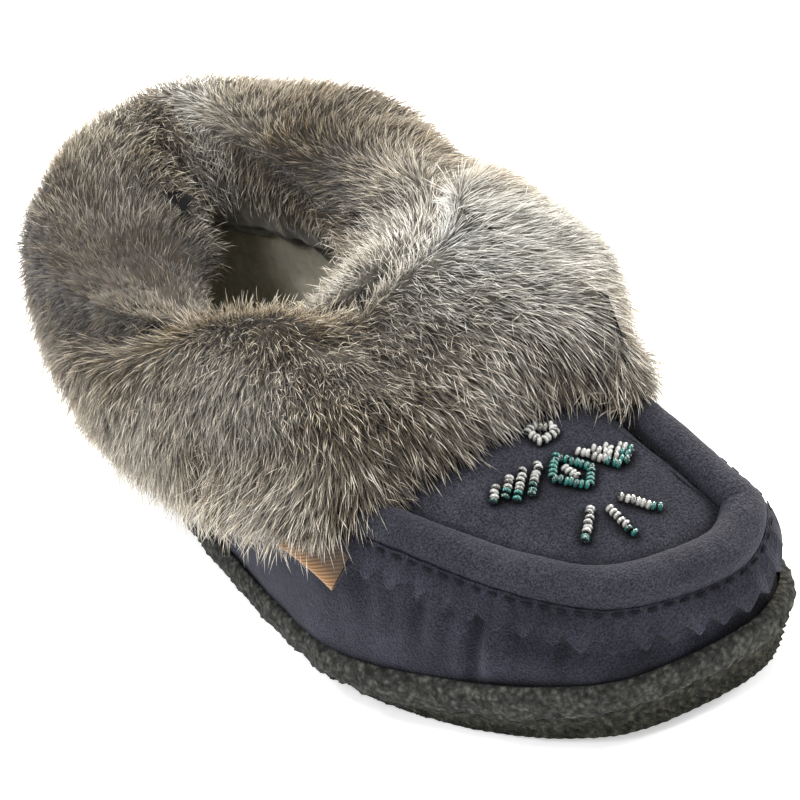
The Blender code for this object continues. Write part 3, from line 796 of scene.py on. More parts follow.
upper = {
    "sections": 576,
    "rowsUp": 56,
    "rowsInside": 20,
    "toeHollow": (38.3, 2.0, 0.9),  # section of the 72, half width, depth
    "hollow": (11.0, 4.0, 1.8),  # under the strip: how far below the seam, half width, depth
    "swellFrom": (9.0, 14.0),  # how far below the seam the leather swells beside a gather
    "innerEase": 26,  # sections averaged on both sides for the inner face
    "behindGathers": 3.0,  # how much further in the inner face lies there
    # gathers under the seam: section of the 72, width in sections, depth, how far down
    "gathers": (
        (23.4, 0.35, 1.2, 18),
        (24.5, 0.30, 1.6, 16),
        (25.3, 0.22, 1.9, 14),
        (26.2, 0.22, 2.2, 20),
        (27.1, 0.20, 1.5, 14),
        (27.9, 0.24, 2.6, 34),
        (29.1, 0.26, 1.7, 15),
        (30.4, 0.24, 1.4, 13),
        (31.6, 0.24, 1.3, 12),
        (32.9, 0.26, 1.2, 12),
        (34.4, 0.30, 1.0, 12),
        (37.0, 0.35, 1.0, 14),
        (40.2, 0.40, 0.9, 16),
        (43.0, 0.40, 0.8, 14),
        (46.0, 0.40, 0.8, 14),
    ),
}


def upperSurface(columns, rowsUp, ease=1.0):
    # the section's ten rows, splined, with gathers that fade down from the seam and a hollow
    # under the strip's edge; ease is how much of them is followed
    rows = upperRows(columns)
    at = np.linspace(0, len(rows) - 1, rowsUp)
    fine = splineAt(rows, at)
    normals = gridNormals(fine)
    run = modelRun(columns)
    height = np.clip(fine[:, :, 2] - last["foxingTop"], 0, None)
    onWall = smoothStep(at, stitchRow + 0.2, stitchRow - 0.3)[:, None] * smoothStep(height, 0, 5)
    wave = np.zeros(fine.shape[:2])
    seam = fine[np.argmin(np.abs(at - stitchRow))][:, 2]
    below = seam[None, :] - fine[:, :, 2]
    for section, width, depth, reach in upper["gathers"]:
        lean = 0.25 * below / 10
        away = (run[None, :] - section + lean) / width
        swell = 0.75 * hump(away - 1.9) + 0.35 * hump(away + 1.7)
        fold = hump(away) - swell * smoothStep(below, *upper["swellFrom"])
        wave -= depth * fold * hump(np.clip(below, 0, None), reach)
    section, width, depth = upper["toeHollow"]
    wave -= depth * hump(run - section, width)
    apronOnly = smoothStep(run, 19.0, 21.0) * smoothStep(run, 57.5, 55.5)
    middle, width, depth = upper["hollow"]
    wave -= depth * hump(below - middle, width) * apronOnly
    wave *= ease
    soft = lumps(fine, 46.0, 3, 3) * 0.5 + lumps(fine, 9.0, 5, 2) * 0.09
    fade = smoothStep(at, 0.0, 1.2)[:, None]
    return fine + normals * (wave * onWall + soft * fade)[:, :, None], at


def makeUpper():
    # outer face, and an inner one set in along smoothed normals, joined at the collar and foot
    columns = upper["sections"]
    outer, at = upperSurface(columns, upper["rowsUp"])
    rows = upperRows(columns)
    atInner = np.linspace(0, len(rows) - 1, upper["rowsInside"])
    plain = splineAt(rows, atInner)
    inward = unit(ringAverage(gridNormals(plain).transpose(1, 0, 2), upper["innerEase"])).transpose(1, 0, 2)
    padded = np.concatenate([inward[:1], inward, inward[-1:]])
    inward = unit(padded[:-2] + padded[1:-1] + padded[2:])
    behind = upper["behindGathers"] * smoothStep(atInner, 0.6, 2.0)
    behind *= smoothStep(atInner, stitchRow + 1.5, stitchRow + 0.3)
    inner = plain - inward * (last["wall"] + behind)[:, None, None]
    points = np.concatenate([outer, inner[::-1]])
    faces = gridFaces(len(points), columns, wrapRows=True)
    piece = addMesh("suedeUpper", points, faces, wallSuede)
    piece.data.materials.append(plugSuede)
    piece.data.materials.append(fleece)
    onPlug = (at[:-1] + at[1:]) / 2 > stitchRow + 1
    byRow = np.concatenate([onPlug.astype(int), np.full(len(points) - len(onPlug), 2)])
    piece.data.polygons.foreach_set("material_index", np.repeat(byRow, columns).astype(np.int32))
    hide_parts("upper")


# Sole: crumbly crepe, built up in a foxing and an outsole

sole = {"sections": 860, "crumb": 0.6, "wave": 0.5, "toeSwell": 0.7, "ridgePitch": 3.0}


def makeFoxing():
    # a rounded rail in section, roughened by soft noise at two sizes
    columns = sole["sections"]
    outline, inward = soleOutline(columns)
    inner = last["upperFoot"][1][0] - last["gap"]
    low = last["outsoleTop"] + last["gap"]
    profile = np.array((
        (inner, low),
        (2.3, low),
        (0.9, low + 0.9),
        (0.15, 10.8),
        (0.0, 13.0),
        (0.25, 15.6),
        (1.0, 17.4),
        (2.1, last["foxingTop"]),
        (inner, last["foxingTop"]),
    ))
    fine = through(profile, 22)
    fine[:, 0] = np.clip(fine[:, 0], -0.1, inner)
    grid = np.array([soleRing(outline, inward, inset, height) for inset, height in fine])
    out = np.column_stack([-inward, np.zeros(columns)])
    edge = smoothStep(inner - fine[:, 0], 0.1, 1.4)[:, None]
    rough = lumps(grid, 3.0, 11, 3) * sole["crumb"] + lumps(grid, 14.0, 12, 2) * sole["wave"]
    rough = rough + sole["toeSwell"] * hump(modelRun(columns) - 36, 2.5)
    grid = grid + out[None] * (rough * edge)[:, :, None]
    grid[:, :, 2] += lumps(grid, 9.0, 14, 2) * 0.35 * edge
    faces = gridFaces(len(grid), columns, wrapRows=True)
    piece = addMesh("crepeFoxing", grid, faces, foxingCrepe)
    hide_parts("foxing")


def makeOutsole():
    # stacked rings from under the foot out to the edge; slanting ridges on its side
    columns = sole["sections"]
    outline, inward = soleOutline(columns)
    steps = runAlong(outline)
    top = last["outsoleTop"]
    profile = np.array((
        (14.0, 1.0, 0.0),
        (9.0, 1.0, 0.0),
        (4.6, 1.0, 0.0),
        (3.6, 0.95, 0.9),
        (3.1, 0.72, 2.6),
        (2.7, 0.5, 4.4),
        (2.4, 0.1, 7.2),
        (2.9, 0.0, top - 0.1),
        (9.0, 0.0, top),
        (14.0, 0.0, top),
    ))
    at = np.concatenate([[0, 1, 1.6], np.linspace(2, 7, 18), [8, 9]])
    fine = splineAt(profile, at)
    rings = []
    for inset, share, height in fine:
        height = min(max(height, 0.0), top)
        rings.append(soleRing(outline, inward, inset + share * tuck(outline[:, 1]), height, height < 2))
    grid = np.array(rings)
    out = np.column_stack([-inward, np.zeros(columns)])
    edge = (smoothStep(at, 2.0, 3.0) * smoothStep(at, 7.0, 6.6))[:, None]
    ridge = np.sin(2 * math.pi * (steps[None, :] + 1.6 * fine[:, 2:]) / sole["ridgePitch"])
    rough = lumps(grid, 2.8, 21, 3) * 0.42 + ridge * 0.6 * smoothStep(fine[:, 2:], 6.5, 3.0) - 0.4
    grid = grid + out[None] * (rough * edge)[:, :, None]
    faces = gridFaces(len(grid), columns)
    caps = plates(len(grid), columns)
    piece = addMesh("crepeOutsole", grid, faces, outsoleCrepe, extra=caps)
    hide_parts("outsole")


def makeInsole():
    # a flat pad with a rounded rim, its top a little uneven
    columns = 288
    outline, inward = soleOutline(columns)
    edge = last["upperFoot"][0][0] + last["wall"] + 0.6
    low = last["outsoleTop"] + last["gap"]
    middle = 14.0
    profile = (
        (middle, low),
        (edge, low),
        (edge, low + 3.2),
        (edge + 1, low + 3.9),
        (edge + 3, low + 4.0),
        (middle, low + 3.7),
    )
    grid = np.array([soleRing(outline, inward, inset, height) for inset, height in profile])
    grid[4:, :, 2] += lumps(grid[4:], 30.0, 31, 2) * 0.3
    faces = gridFaces(len(grid), columns)
    caps = plates(len(grid), columns)
    piece = addMesh("fleeceInsole", grid, faces, fleece, extra=caps)
    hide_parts("insole")


makeUpper()
makeFoxing()
makeOutsole()
makeInsole()
print("upper and sole are made")


# Apron seam: a padded roll, the pinked strip under it and their stitches

apron = {
    "firstSection": 19.6,
    "lastSection": 57.0,
    "bulge": 6.6,
    "columns": 420,
    "around": 28,
    "stripWidth": 10.4,
    "stripThickness": 1.3,
    "toothPitch": 6.8,
    "toothDepth": 3.6,
    "stitchPitch": 4.2,
    "stitchLength": 2.7,
    "stitchDrop": 1.2,
    "threadRadius": 0.27,
    "threadLift": 0.12,
    "toothCurl": (1.1, 0.3),  # lift of the teeth's edge off the wall, and how much it varies
    "notchShadeFrom": 0.4,  # share of a tooth's depth from which the notch faces are painted near-black, as painted shadow
}


def seamSections(columns):
    # places along the seam, as sections of the model and as fine sections
    at = np.linspace(apron["firstSection"], apron["lastSection"], columns)
    return at, at * (fineSections / last["modelSections"])


def makeApronRoll():
    # half an ellipse over the chord from the stitches to the plug's edge, with a flat under it,
    # carried along the seam; shallow puckers where the needle pulled it
    columns, around = apron["columns"], apron["around"]
    at, fineAt = seamSections(columns)
    rows = upperRows(fineSections)
    stitch, middle, plug = (splineAt(row, fineAt, True) for row in rows[stitchRow:plugRow + 1])
    out = unit(splineAt(gridNormals(rows)[stitchRow + 1], fineAt, True))
    across = plug - stitch
    out = unit(out - across * (np.sum(out * across, 1) / np.sum(across * across, 1))[:, None])
    length = runAlong(stitch)
    bulge = apron["bulge"] * (1 - 0.16 * hump(at - 39, 3.5))
    angles = np.linspace(-0.1, math.pi + 0.1, around)
    flat = np.linspace(0.44, -0.34, 7)
    lines = []
    for angle in angles:
        rise = last["gap"] + 0.5 + bulge * max(math.sin(angle), 0) ** 0.9
        pucker = 0.35 * math.cos(angle) ** 6 * np.sin(2 * math.pi * length / apron["stitchPitch"])
        soft = lumps(middle, 17.0, 41, 3) * 0.45 * math.sin(max(angle, 0))
        side = across * (-(0.43 if math.cos(angle) > 0 else 0.53) * math.cos(angle))
        lines.append(middle + side + out * (rise + pucker * 0.5 + soft)[:, None])
    for share in flat:
        lines.append(middle + across * share + out * last["gap"])
    grid = np.stack(lines, 1)
    shape = grid.shape[:2]
    roll = addMesh("apronRoll", grid, gridFaces(*shape), plugSuede, extra=endCaps(*shape))
    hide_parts("apron_roll")


def seamSurface(columns):
    # the upper's face by fractional sections along the seam: points, normals, the seam's row
    base, atRows = upperSurface(fineSections, upper["rowsUp"], 0.3)
    _, at = seamSections(columns)
    picked, facing = (
        splineAt(grid.transpose(1, 0, 2), at, True).transpose(1, 0, 2)
        for grid in (base, gridNormals(base))
    )
    first = int(np.argmin(np.abs(atRows - stitchRow - 0.22)))
    return picked, unit(facing), first, runAlong(picked[first])


def makePinkedStrip():
    # a flat band down the wall from the seam, its lower edge a triangle wave of teeth
    columns = 900
    picked, facing, first, length = seamSurface(columns)
    saw = np.abs((length / apron["toothPitch"]) % 1 * 2 - 1)
    edge = apron["stripWidth"] - apron["toothDepth"] * saw
    low = last["gap"] + 0.1
    high = low + apron["stripThickness"]
    lift, varies = apron["toothCurl"]
    curl = lumps(picked[first], 21.0, 45, 2) * varies + lift
    section = (
        # share of the width, height, share of the curl
        (0.05, low, 0),
        (0.5, low, 0.3),
        (0.8, low, 0.7),
        (1.0, low, 1.0),
        (1.02, (low + high) / 2, 1.0),
        (1.0, high - 0.2, 1.0),
        (0.92, high, 0.9),
        (0.8, high, 0.7),
        (0.5, high, 0.3),
        (0.05, high, 0),
    )
    lines = []
    for share, lift, lifting in section:
        points, way = alongSections(picked, facing, first, edge * share)
        lines.append(points + way * (lift + curl * lifting)[:, None])
    grid = np.stack(lines, 1)
    shape = grid.shape[:2]
    strip = addMesh("pinkedStrip", grid, gridFaces(*shape), wallSuede, False, extra=endCaps(*shape))
    # painted shadow: near-black suede on the edge and a thin band of the top at the bottom of each notch,
    # where the shade under the teeth falls
    strip.data.materials.append(notchShadowSuede)
    notchShadeRows = [3 <= k <= 5 for k in range(len(section))]
    notch = np.outer(saw[:-1] > apron["notchShadeFrom"], notchShadeRows).ravel()
    strip.data.polygons.foreach_set("material_index", np.append(notch, (0, 0)).astype(np.int32))
    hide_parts("pinked_strip")


def strands(roots, ways, sides, lengths, widths, bends, shape):
    # a thread is a three-sided spindle: rings at shares of its length, radius by ring, closed
    # to a point at both ends; the bend grows with the square of the distance
    stages, sizes = np.array(shape).T
    bow = np.cross(ways, sides)
    around = np.array((0, 2, 4)) * math.pi / 3
    count = len(roots)

    def axisAt(share):
        straight = ways[:, None, :] * (lengths[:, None] * share)[:, :, None]
        return roots[:, None, :] + straight + bends[:, None, :] * (lengths[:, None] * share**2)[:, :, None]

    ring = sides[:, None, :] * np.cos(around)[None, :, None] + bow[:, None, :] * np.sin(around)[None, :, None]
    body = axisAt(stages)[:, :, None, :] + ring[:, None, :, :] * (widths[:, None] * sizes)[:, :, None, None]
    ends = axisAt(np.array((0.0, 1.0)))
    points = np.concatenate([ends[:, :1], body.reshape(count, -1, 3), ends[:, 1:]], 1)
    each = points.shape[1]
    one = []
    for k in range(3):
        after = (k + 1) % 3
        one.append((0, 1 + after, 1 + k))
        for stage in range(len(stages) - 1):
            a, b = 1 + stage * 3 + k, 1 + stage * 3 + after
            one += [(a, b, b + 3), (a, b + 3, a + 3)]
        one.append((each - 4 + k, each - 4 + after, each - 1))
    faces = (np.array(one)[None] + (np.arange(count) * each)[:, None, None]).reshape(-1, 3)
    along = np.concatenate([[0.0], np.repeat(stages, 3), [1.0]])
    return points, faces, np.broadcast_to(along, (count, each))


def makeStitches():
    # a running stitch of waxed thread through the strip, just under the roll
    picked, facing, first, length = seamSurface(1800)
    count = int(length[-1] / apron["stitchPitch"])
    low = last["gap"] + 0.1 + apron["stripThickness"]
    points, way = alongSections(picked, facing, first, apron["stitchDrop"])
    line = points + way * (low + apron["threadLift"])
    at = (np.arange(count) + 0.3) * apron["stitchPitch"]
    start, end = (readAt(at + shift, length, line) for shift in (0, apron["stitchLength"]))
    ups = readAt(at, length, way)
    ways = unit(end - start)
    sides = unit(np.cross(ups, ways))
    lengths = np.linalg.norm(end - start, axis=1)
    shape = ((0.12, 1.0), (0.5, 1.0), (0.88, 1.0))
    radii = np.full(count, apron["threadRadius"])
    made, faces, _ = strands(start, ways, sides, lengths, radii, ways * 0, shape)
    addMesh("seamStitches", made, faces, seamThread)


makeApronRoll()
makePinkedStrip()
makeStitches()
print("apron seam is made")


# Ribbon tab: a loop of satin caught under the cuff

tab = {
    "y": -53.2,
    "seamHeight": 60.6,
    "width": 17.0,
    "tilt": math.radians(35),
    "swing": math.radians(25),  # how far the loop hangs towards the heel
    "thickness": 0.5,
    "uvStep": 0.9,
    # outward from the wall, down from the seam
    "loop": (
        (3.2, -1.0),
        (4.4, 0.6),
        (6.2, 3.2),
        (8.1, 6.2),
        (9.6, 8.7),
        (8.8, 9.3),
        (6.8, 6.8),
        (5.0, 4.2),
        (3.4, 1.8),
    ),
}


def makeRibbonTab():
    # the loop's section carried straight across the ribbon's width, with a slight curl
    rows = upperRows(fineSections)
    outer = np.arange(10, 350)
    i = outer[np.argmin(np.abs(rows[1, outer, 1] - tab["y"]))]
    line = rows[:plugRow + 1, i]
    seam = readAt([tab["seamHeight"]], line[:, 2], line)[0]
    level = unit(rows[1, i + 8] - rows[1, i - 8])
    outward = np.cross(level, (0, 0, 1))
    along = level * math.cos(tab["tilt"]) - np.array((0, 0, 1)) * math.sin(tab["tilt"])
    down = -level * math.sin(tab["swing"]) - np.array((0, 0, 1)) * math.cos(tab["swing"])
    section = through(tab["loop"], 33)
    ways = unit(np.gradient(section, axis=0))
    side = np.column_stack([-ways[:, 1], ways[:, 0]]) * tab["thickness"] / 2
    ring = np.concatenate([section + side, (section - side)[::-1]])
    shares = np.linspace(-0.5, 0.5, 15)
    curl = 0.5 * (shares * 2) ** 2
    grid = (
        seam
        + along * (tab["width"] * shares)[:, None, None]
        + outward * (ring[None, :, :1] + curl[:, None, None])
        + down * ring[None, :, 1:]
    )
    count = len(ring)
    oneWay = np.arange(len(section)) * tab["uvStep"]
    run = np.concatenate([oneWay, oneWay[::-1]])
    uv = np.stack(np.broadcast_arrays(shares[:, None] * tab["width"], run[None, :]), -1).reshape(-1, 2)
    half = count // 2
    caps = []
    for start, turn in ((0, 1), ((len(shares) - 1) * count, -1)):
        for k in range(half - 1):
            corners = (start + k, start + k + 1, start + count - 2 - k, start + count - 1 - k)
            caps.append(corners[::turn])
    faces = gridFaces(len(shares), count)
    piece = addMesh("ribbonTab", grid, faces, ribbonSatin, uv=uv, extra=caps)
    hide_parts("label_tab")


makeRibbonTab()


# Beadwork: strings of seed beads sewn flat on the plug

beads = {
    "centre": (2.1, -83.6),
    "turn": math.radians(-9.2),
    "size": 2.45,  # across a bead
    "hole": 0.55,
    "plump": 1.45,  # how far the circle of a bead's section is drawn out along the thread
    "pitch": 1.3,
    "wobble": 0.14,
    "clearOfBar": 0.66,  # share of a bar in clear glass, and of a ray
    "clearOfRay": 0.7,
    # across towards the inner side, ahead towards the toe
    "diamond": ((-1.8, -5.3), (-6.7, -0.7), (0.0, 5.7), (3.9, 1.8)),
    "diamondCentre": ((-2.0, -2.1), (-0.8, 2.7)),
    # distance from the diamond, distance ahead of it, length
    "outerBars": ((21.1, -4.2, 4.7), (17.3, -3.9, 6.1), (14.4, -2.8, 8.6), (10.5, -2.2, 10.0)),
    "innerBars": ((14.6, 0.4, 4.3), (12.3, 0.3, 6.9), (10.1, 0.5, 9.7), (7.1, 0.0, 11.1)),
    "outerLean": math.radians(47),
    "innerLean": math.radians(39),
    # aside, start, length, angle
    "rays": (
        (-3.5, 10.7, 9.9, math.radians(-47)),
        (0.1, 12.3, 9.2, math.radians(8)),
        (4.3, 11.3, 10.2, math.radians(45)),
    ),
    "loop": ((-3.3, -14.8), (-1.4, -15.7), (2.9, -13.5), (2.9, -11.2), (-2.4, -10.9)),
}


def plugHeights():
    # the plug's top as scattered points
    flat = upperSurface(360, 80)[0].reshape(-1, 3)
    return flat[(flat[:, 1] < -30) & (flat[:, 2] > 35)]


plugSamples = plugHeights()


def onPlug(plan):
    # height and upward normal at places in plan: the plane nearest to the twelve samples around
    away = np.linalg.norm(plugSamples[None, :, :2] - plan[:, None, :], axis=2)
    nearest = np.argsort(away, axis=1)[:, :12]
    picked = plugSamples[nearest]
    middle = picked.mean(1)
    heights = []
    ups = []
    for place, cloud, centre in zip(plan, picked, middle):
        spread = cloud[:, :2] - centre[:2]
        slope = np.linalg.lstsq(spread, cloud[:, 2] - centre[2], rcond=None)[0]
        heights.append(centre[2] + (place - centre[:2]) @ slope)
        ups.append((-slope[0], -slope[1], 1.0))
    return np.array(heights), unit(np.array(ups))


def beadMesh(name, centres, axes, ups, material, replaced):
    # a fat ring: a circle carried round the hole, drawn out along the thread
    turns, rings = 10, 6
    u = np.linspace(0, 2 * math.pi, turns, endpoint=False)[:, None]
    v = np.linspace(0, 2 * math.pi, rings, endpoint=False)[None, :]
    big = (beads["size"] + beads["hole"]) / 4
    small = (beads["size"] - beads["hole"]) / 4
    radius = big + small * np.cos(v)
    thick = beads["plump"] * small * np.sin(v)
    ring = np.stack(np.broadcast_arrays(radius * np.cos(u), radius * np.sin(u), thick), -1)
    side = unit(np.cross(axes, ups))
    lift = np.cross(side, axes)
    frameOf = np.stack([side, lift, axes], 1)
    points = np.einsum("abk,nkj->nabj", ring, frameOf) + centres[:, None, None, :]
    one = gridFaces(turns, rings, wrapRows=True)
    faces = (one[None] + (np.arange(len(centres)) * turns * rings)[:, None, None]).reshape(-1, 4)
    piece = addMesh(name, points, faces[:, ::-1], material)
    # share round from the hole to the crown, which sets the painted shade and the painted highlight
    paintedCrownLight = np.broadcast_to((1 + np.cos(v)) / 2, (len(centres), turns, rings))
    each = np.broadcast_to(rng.random(len(centres))[:, None, None], paintedCrownLight.shape)
    addAttribute(piece, "seedShadeAndTone", np.stack([paintedCrownLight, each, 0 * each], -1).reshape(-1, 3))
    if replaced:
        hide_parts(replaced)


def makeBeadwork():
    toeWay = np.array((math.sin(beads["turn"]), -math.cos(beads["turn"])))
    innerWay = np.array((-toeWay[1], toeWay[0]))

    def place(corner):
        return np.array(beads["centre"]) + innerWay * corner[0] + toeWay * corner[1]

    # beads at even steps along straight runs between corners, each a little askew
    def string(name, corners, material, slot, replaced, closed=False, skip=0.0, upTo=1.0):
        corners = np.array([place(corner) for corner in corners])
        if closed:
            corners = np.concatenate([corners, corners[:1]])
        run = runAlong(corners)
        count = max(1, round(run[-1] / beads["pitch"]))
        edges = (np.arange(count) + (0.0 if closed else 0.5)) / count
        edges = edges[(edges >= skip) & (edges < upTo)]
        at = edges * run[-1]
        plan = readAt(at, run, corners)
        heights, ups = onPlug(plan)
        way = readAt(at + 0.3, run, corners) - readAt(at - 0.3, run, corners)
        axes = np.column_stack([way, np.zeros(len(way))])
        axes = unit(axes - ups * np.sum(axes * ups, 1)[:, None])
        wobble = rng.normal(size=(len(plan), 3)) * beads["wobble"]
        axes = unit(axes + wobble)
        centres = np.column_stack([plan, heights]) + ups * (beads["size"] / 2 + 0.1) + wobble
        beadMesh(name, centres, axes, ups, material, replaced)

    clear = (clearGlass, "glass_clear")
    teal = (tealGlass, "glass_teal")
    string("beadDiamond", beads["diamond"], *teal, "bead_diamond", closed=True)
    string("beadDiamondInner", beads["diamondCentre"], *clear, "bead_diamond_centre")
    string("beadLoop", beads["loop"], *clear, "bead_loop", closed=True)
    upTo = beads["clearOfBar"]
    for side, wing in ((-1, "outer"), (1, "inner")):
        lean = beads[wing + "Lean"]
        for number, (away, ahead, length) in enumerate(beads[wing + "Bars"], 1):
            half = np.array((side * math.sin(lean), math.cos(lean))) * length / 2
            middle = np.array((side * away, ahead))
            ends = [middle - half, middle + half]
            name = f"{wing}Bar{number}".capitalize()
            string("clear" + name, ends, *clear, f"bead_bar_{wing}_{number}", upTo=upTo)
            string("teal" + name, ends, *teal, None, skip=upTo)
    upTo = beads["clearOfRay"]
    for number, (aside, start, length, turn) in enumerate(beads["rays"], 1):
        root = np.array((aside, start))
        tip = root + np.array((math.sin(turn), math.cos(turn))) * length
        string(f"clearRay{number}", [root, tip], *clear, f"bead_ray_{number}", upTo=upTo)
        string(f"tealRay{number}", [root, tip], *teal, None, skip=upTo)


makeBeadwork()
print("ribbon and beadwork are made")


# Fur: the hide with its short wool, then wool locks and guard hairs as tapered strands

hair = {
    "seed": 19,
    "rootDepth": 1.0,
    "backing": 2.0,  # how far under the skin the back of the hide lies
    "hides": ("heel", "outer", "front", "inner"),  # four lengths of hide round the collar
    # number, length, radius, how far it lies over, scatter, shape (share of length, radius)
    "wool": (64500, (5.5, 8.5), (0.12, 0.19), 0.95, 0.24, ((0.45, 1.0),)),
    "guard": (25000, (7.5, 12.5), (0.06, 0.10), 0.8, 0.38, ((0.35, 0.8), (0.78, 1.0))),
    # blue-grey islands: angle, row of the profile, half width, half rows
    "grey": ((206, 8.6, 27, 2.1), (124, 10.2, 8, 0.8), (312, 5.4, 9, 2.2), (165, 6.0, 12, 1.2)),
    # paler (+) and darker (-) islands, partly the fur's own patches and partly painted light and painted
    # shade where the cuff faces towards or away from the lamps and in its crevices: angle, row, half width,
    # half rows, strength
    "shades": (
        (205, 8.8, 30, 2.8, 1.2),
        (18, 6.0, 24, 1.8, 0.5),
        (312, 5.6, 9, 2.4, 0.5),
        (331, 5.2, 8, 1.8, -0.7),
        (262, 5.4, 28, 2.6, -0.75),
        (105, 7.3, 38, 1.6, -0.5),
        (124, 10.2, 7, 0.8, -0.5),
        (148, 7.2, 8, 0.9, -0.7),
        (75, 6.0, 38, 3.4, -1.1),
    ),
    # how the pile lies: angle, parting (row of the profile), lean round the shoe above and
    # below it, and how strongly it runs inwards above it
    "lie": (
        (0, 8.0, -0.6, -0.2, 0.4),
        (35, 8.0, -1.5, -0.5, 0.1),
        (80, 8.0, -1.7, -0.5, 0.1),
        (110, 8.0, -1.0, -0.4, 0.1),
        (150, 7.0, -0.5, -0.3, 0.3),
        (180, 7.2, 0.1, 0.0, 0.7),
        (205, 7.6, 0.6, 0.8, 0.6),
        (232, 7.4, 0.7, 1.3, 0.6),
        (255, 6.0, 0.6, 0.8, 0.9),
        (285, 5.0, 0.5, 0.3, 1.0),
        (330, 6.5, 0.2, 0.0, 0.9),
    ),
}

furWool = rabbitHair(
    "rabbitWool",
    ("#231c14", "#33343a"),
    ("#433827", "#a0a19a"),
    ("#6f5f45", "#efeee8"),
    "#2d261c",
    0.9,
)
furGuard = rabbitHair(
    "rabbitGuardHair",
    ("#2b2219", "#404145"),
    ("#54452f", "#8a8982"),
    ("#fff6e2", "#fbf8ee"),
    "#5a4f41",
    0.45,
)


def makeSkin(surface):
    # the cuff's own surface drawn in by the depth of its pile, thrown into soft tufts
    normals = -gridNormals(surface)
    tufts = lumps(surface, 13.0, 51, 3) * 1.2
    across = np.linspace(0, 1, len(surface))[:, None]
    depth = cuff["skinDepth"] * (0.35 + 0.65 * smoothStep(across, 0, 0.12) * smoothStep(across, 1.0, 0.9))
    return surface - normals * (depth - tufts)[:, :, None], normals


def lieOf(angle, row):
    # flow down the profile from -1 to 1 and lean round the shoe, for hairs at an angle and row
    table = np.array(hair["lie"], float)
    table = np.concatenate([table, table[:1] + (360, 0, 0, 0, 0)])
    parting, above, below, inwards = readAt(angle, table[:, 0], table[:, 1:]).T
    share = smoothStep(row, parting - 1.2, parting + 0.8)
    below = below * (1 - 0.75 * smoothStep(row, 9.5, 12.0))
    return share - inwards * (1 - share), above * (1 - share) + below * share


def patchTone(surface, angle, row):
    # where the hide has gone blue-grey: soft islands at set directions and places across
    tone = 0.18 + 0.25 * lumps(surface, 40.0, 71, 2)
    for at, where, wide, deep in hair["grey"]:
        tone = tone + bell(angle, at, wide) * hump(row - where, deep)
    return np.clip(tone, 0, 1)


def makeHide(surface, skin, normals, patch, isBare):
    # the skin in short wool, closed by a coarser back under it, with its bare edge
    rows, columns = patch.shape
    points = np.concatenate([skin, (skin - normals * hair["backing"])[::-7]])
    faces = gridFaces(len(points), columns, wrapRows=True)
    tone = np.zeros(points.shape)
    tone[:rows, :, 0] = 0.32 + 0.16 * lumps(surface, 5.0, 53, 3)
    tone[:rows, :, 1] = 0.45
    tone[:rows, :, 2] = patch
    base = addMesh("furHide", points, faces[:, ::-1], furWool)
    base.data.materials.append(hideBack)
    byFace = np.zeros(len(faces), np.int32)
    byFace[:(rows - 1) * columns] = isBare[:-1].ravel()
    base.data.polygons.foreach_set("material_index", byFace)
    addAttribute(base, "strandShadeAndTone", tone.reshape(-1, 3))
    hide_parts("fur_cuff")


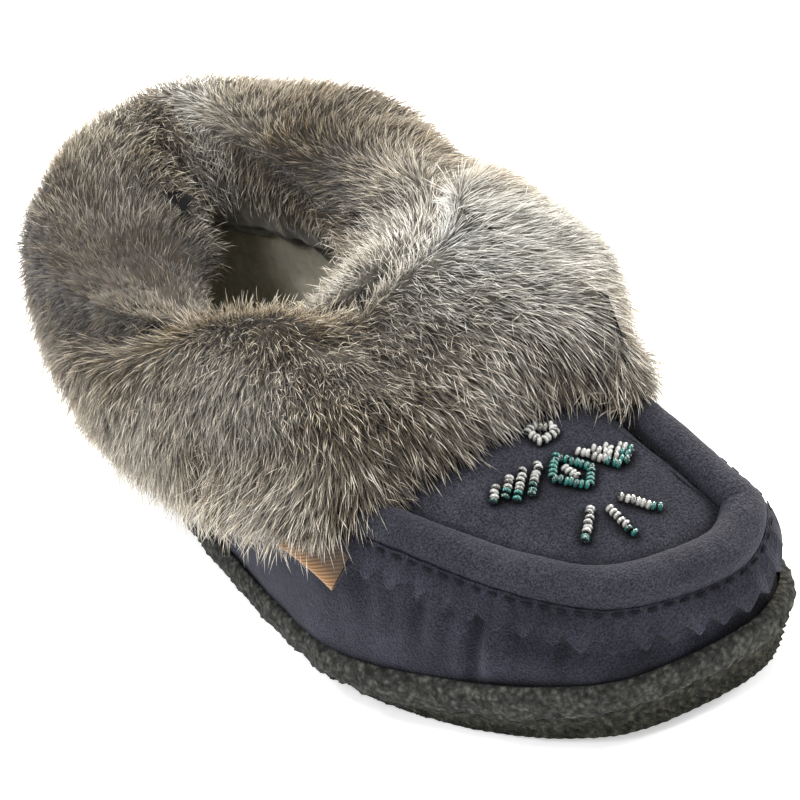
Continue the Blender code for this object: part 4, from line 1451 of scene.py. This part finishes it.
def makeFur():
    # the hide, then hairs rooted evenly over its area, leaning as their place says and straying
    profile = cuffSurface(cuff["sections"])
    surface = through(profile, cuff["rowsAcross"])
    skin, normals = makeSkin(surface)
    rows, columns = surface.shape[:2]
    angles = np.degrees(collarAngle(surface.reshape(-1, 3)[:, :2])).reshape(rows, columns)
    profileRow = np.linspace(0, len(profile) - 1, rows)[:, None] + np.zeros(columns)
    pastBare = profileRow - np.interp(angles, *np.array(cuff["bare"]).T)
    patch = patchTone(surface, angles, profileRow)
    makeHide(surface, skin, normals, patch, pastBare < 0)

    draw = np.random.default_rng(hair["seed"])
    stepsDown = np.gradient(surface, axis=0)
    stepsRound = (np.roll(surface, -1, 1) - np.roll(surface, 1, 1)) / 2
    area = np.linalg.norm(np.cross(stepsDown, stepsRound), axis=2)
    weight = (area * smoothStep(pastBare, -0.15, 0.25)).ravel()
    for kind, material in (("wool", furWool), ("guard", furGuard)):
        count, lengthSpan, widthSpan, lying, scatter, shape = hair[kind]
        i, j = np.divmod(draw.choice(weight.size, count, p=weight / weight.sum()), columns)
        i2, j2 = np.minimum(i + 1, rows - 1), (j + 1) % columns
        a, b = draw.random(count)[:, None], draw.random(count)[:, None]
        angle, row, past = angles[i, j], profileRow[i, j], pastBare[i, j]

        def read(grid):
            return (
                grid[i, j] * (1 - a) * (1 - b) + grid[i2, j] * a * (1 - b)
                + grid[i, j2] * (1 - a) * b + grid[i2, j2] * a * b
            )

        root = read(skin) - read(normals) * hair["rootDepth"]
        out = unit(read(normals))
        down = unit(read(unit(stepsDown)))
        side = unit(np.cross(out, down))
        flow, lean = lieOf(angle, row)
        swirl = lean + lumps(root, 34.0, 61, 2) * 0.3
        stray = draw.normal(size=(count, 3)) * scatter
        stray *= 1 + 1.5 * (draw.random(count) < 0.12)[:, None]
        lie = lying * flow * (1 + 0.25 * lumps(root, 22.0, 62, 2))
        way = unit(out + down * lie[:, None] + side * swirl[:, None] + stray)
        bend = down * (0.25 * flow)[:, None] - out * 0.12 + np.array((0, 0, -0.05))
        bend += draw.normal(size=(count, 3)) * 0.06
        # shorter beside the bare edge and at the front of the opening
        length = draw.uniform(*lengthSpan, count) * (1 + 0.15 * lumps(root, 18.0, 63, 2))
        length *= 0.6 + 0.4 * smoothStep(past, 0.0, 1.2)
        length *= 1 - 0.4 * bell(angle, 125, 50) * smoothStep(row, 7.6, 5.8)
        width = draw.uniform(*widthSpan, count)
        cool = np.clip(read(patch[:, :, None])[:, 0] + draw.normal(size=count) * 0.1, 0, 1)
        # each hair's tone: soft random patches plus the islands, which paint shade and light by region as
        # well as the fur's own tone
        shade = 0.5 + 0.3 * lumps(root, 30.0, 64, 2) + 0.2 * lumps(root, 9.0, 65, 2)
        for at, where, wide, deep, strength in hair["shades"]:
            shade += strength * bell(angle, at, wide) * hump(row - where, deep)
        toneAndShade = np.column_stack([np.clip(0.55 * draw.random(count) + 0.6 * shade, 0, 1), cool])
        quarter = ((angle + 45) % 360 // 90).astype(int)
        for number, hide in enumerate(hair["hides"]):
            mine = quarter == number
            made, faces, along = strands(
                *(values[mine] for values in (root, way, side, length, width, bend)), shape
            )
            byPoint = np.repeat(toneAndShade[mine][:, None], along.shape[1], 1)
            tone = np.concatenate([along[:, :, None], byPoint], 2).reshape(-1, 3)
            piece = addMesh(f"{kind}Hair{hide.capitalize()}", made, faces, material)
            addAttribute(piece, "strandShadeAndTone", tone)


makeFur()
print("fur is made")

pieces = [o for o in bpy.context.scene.objects if o.type == "MESH" and o.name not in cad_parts]
print("triangles:", sum(triangleCount(piece) for piece in pieces))
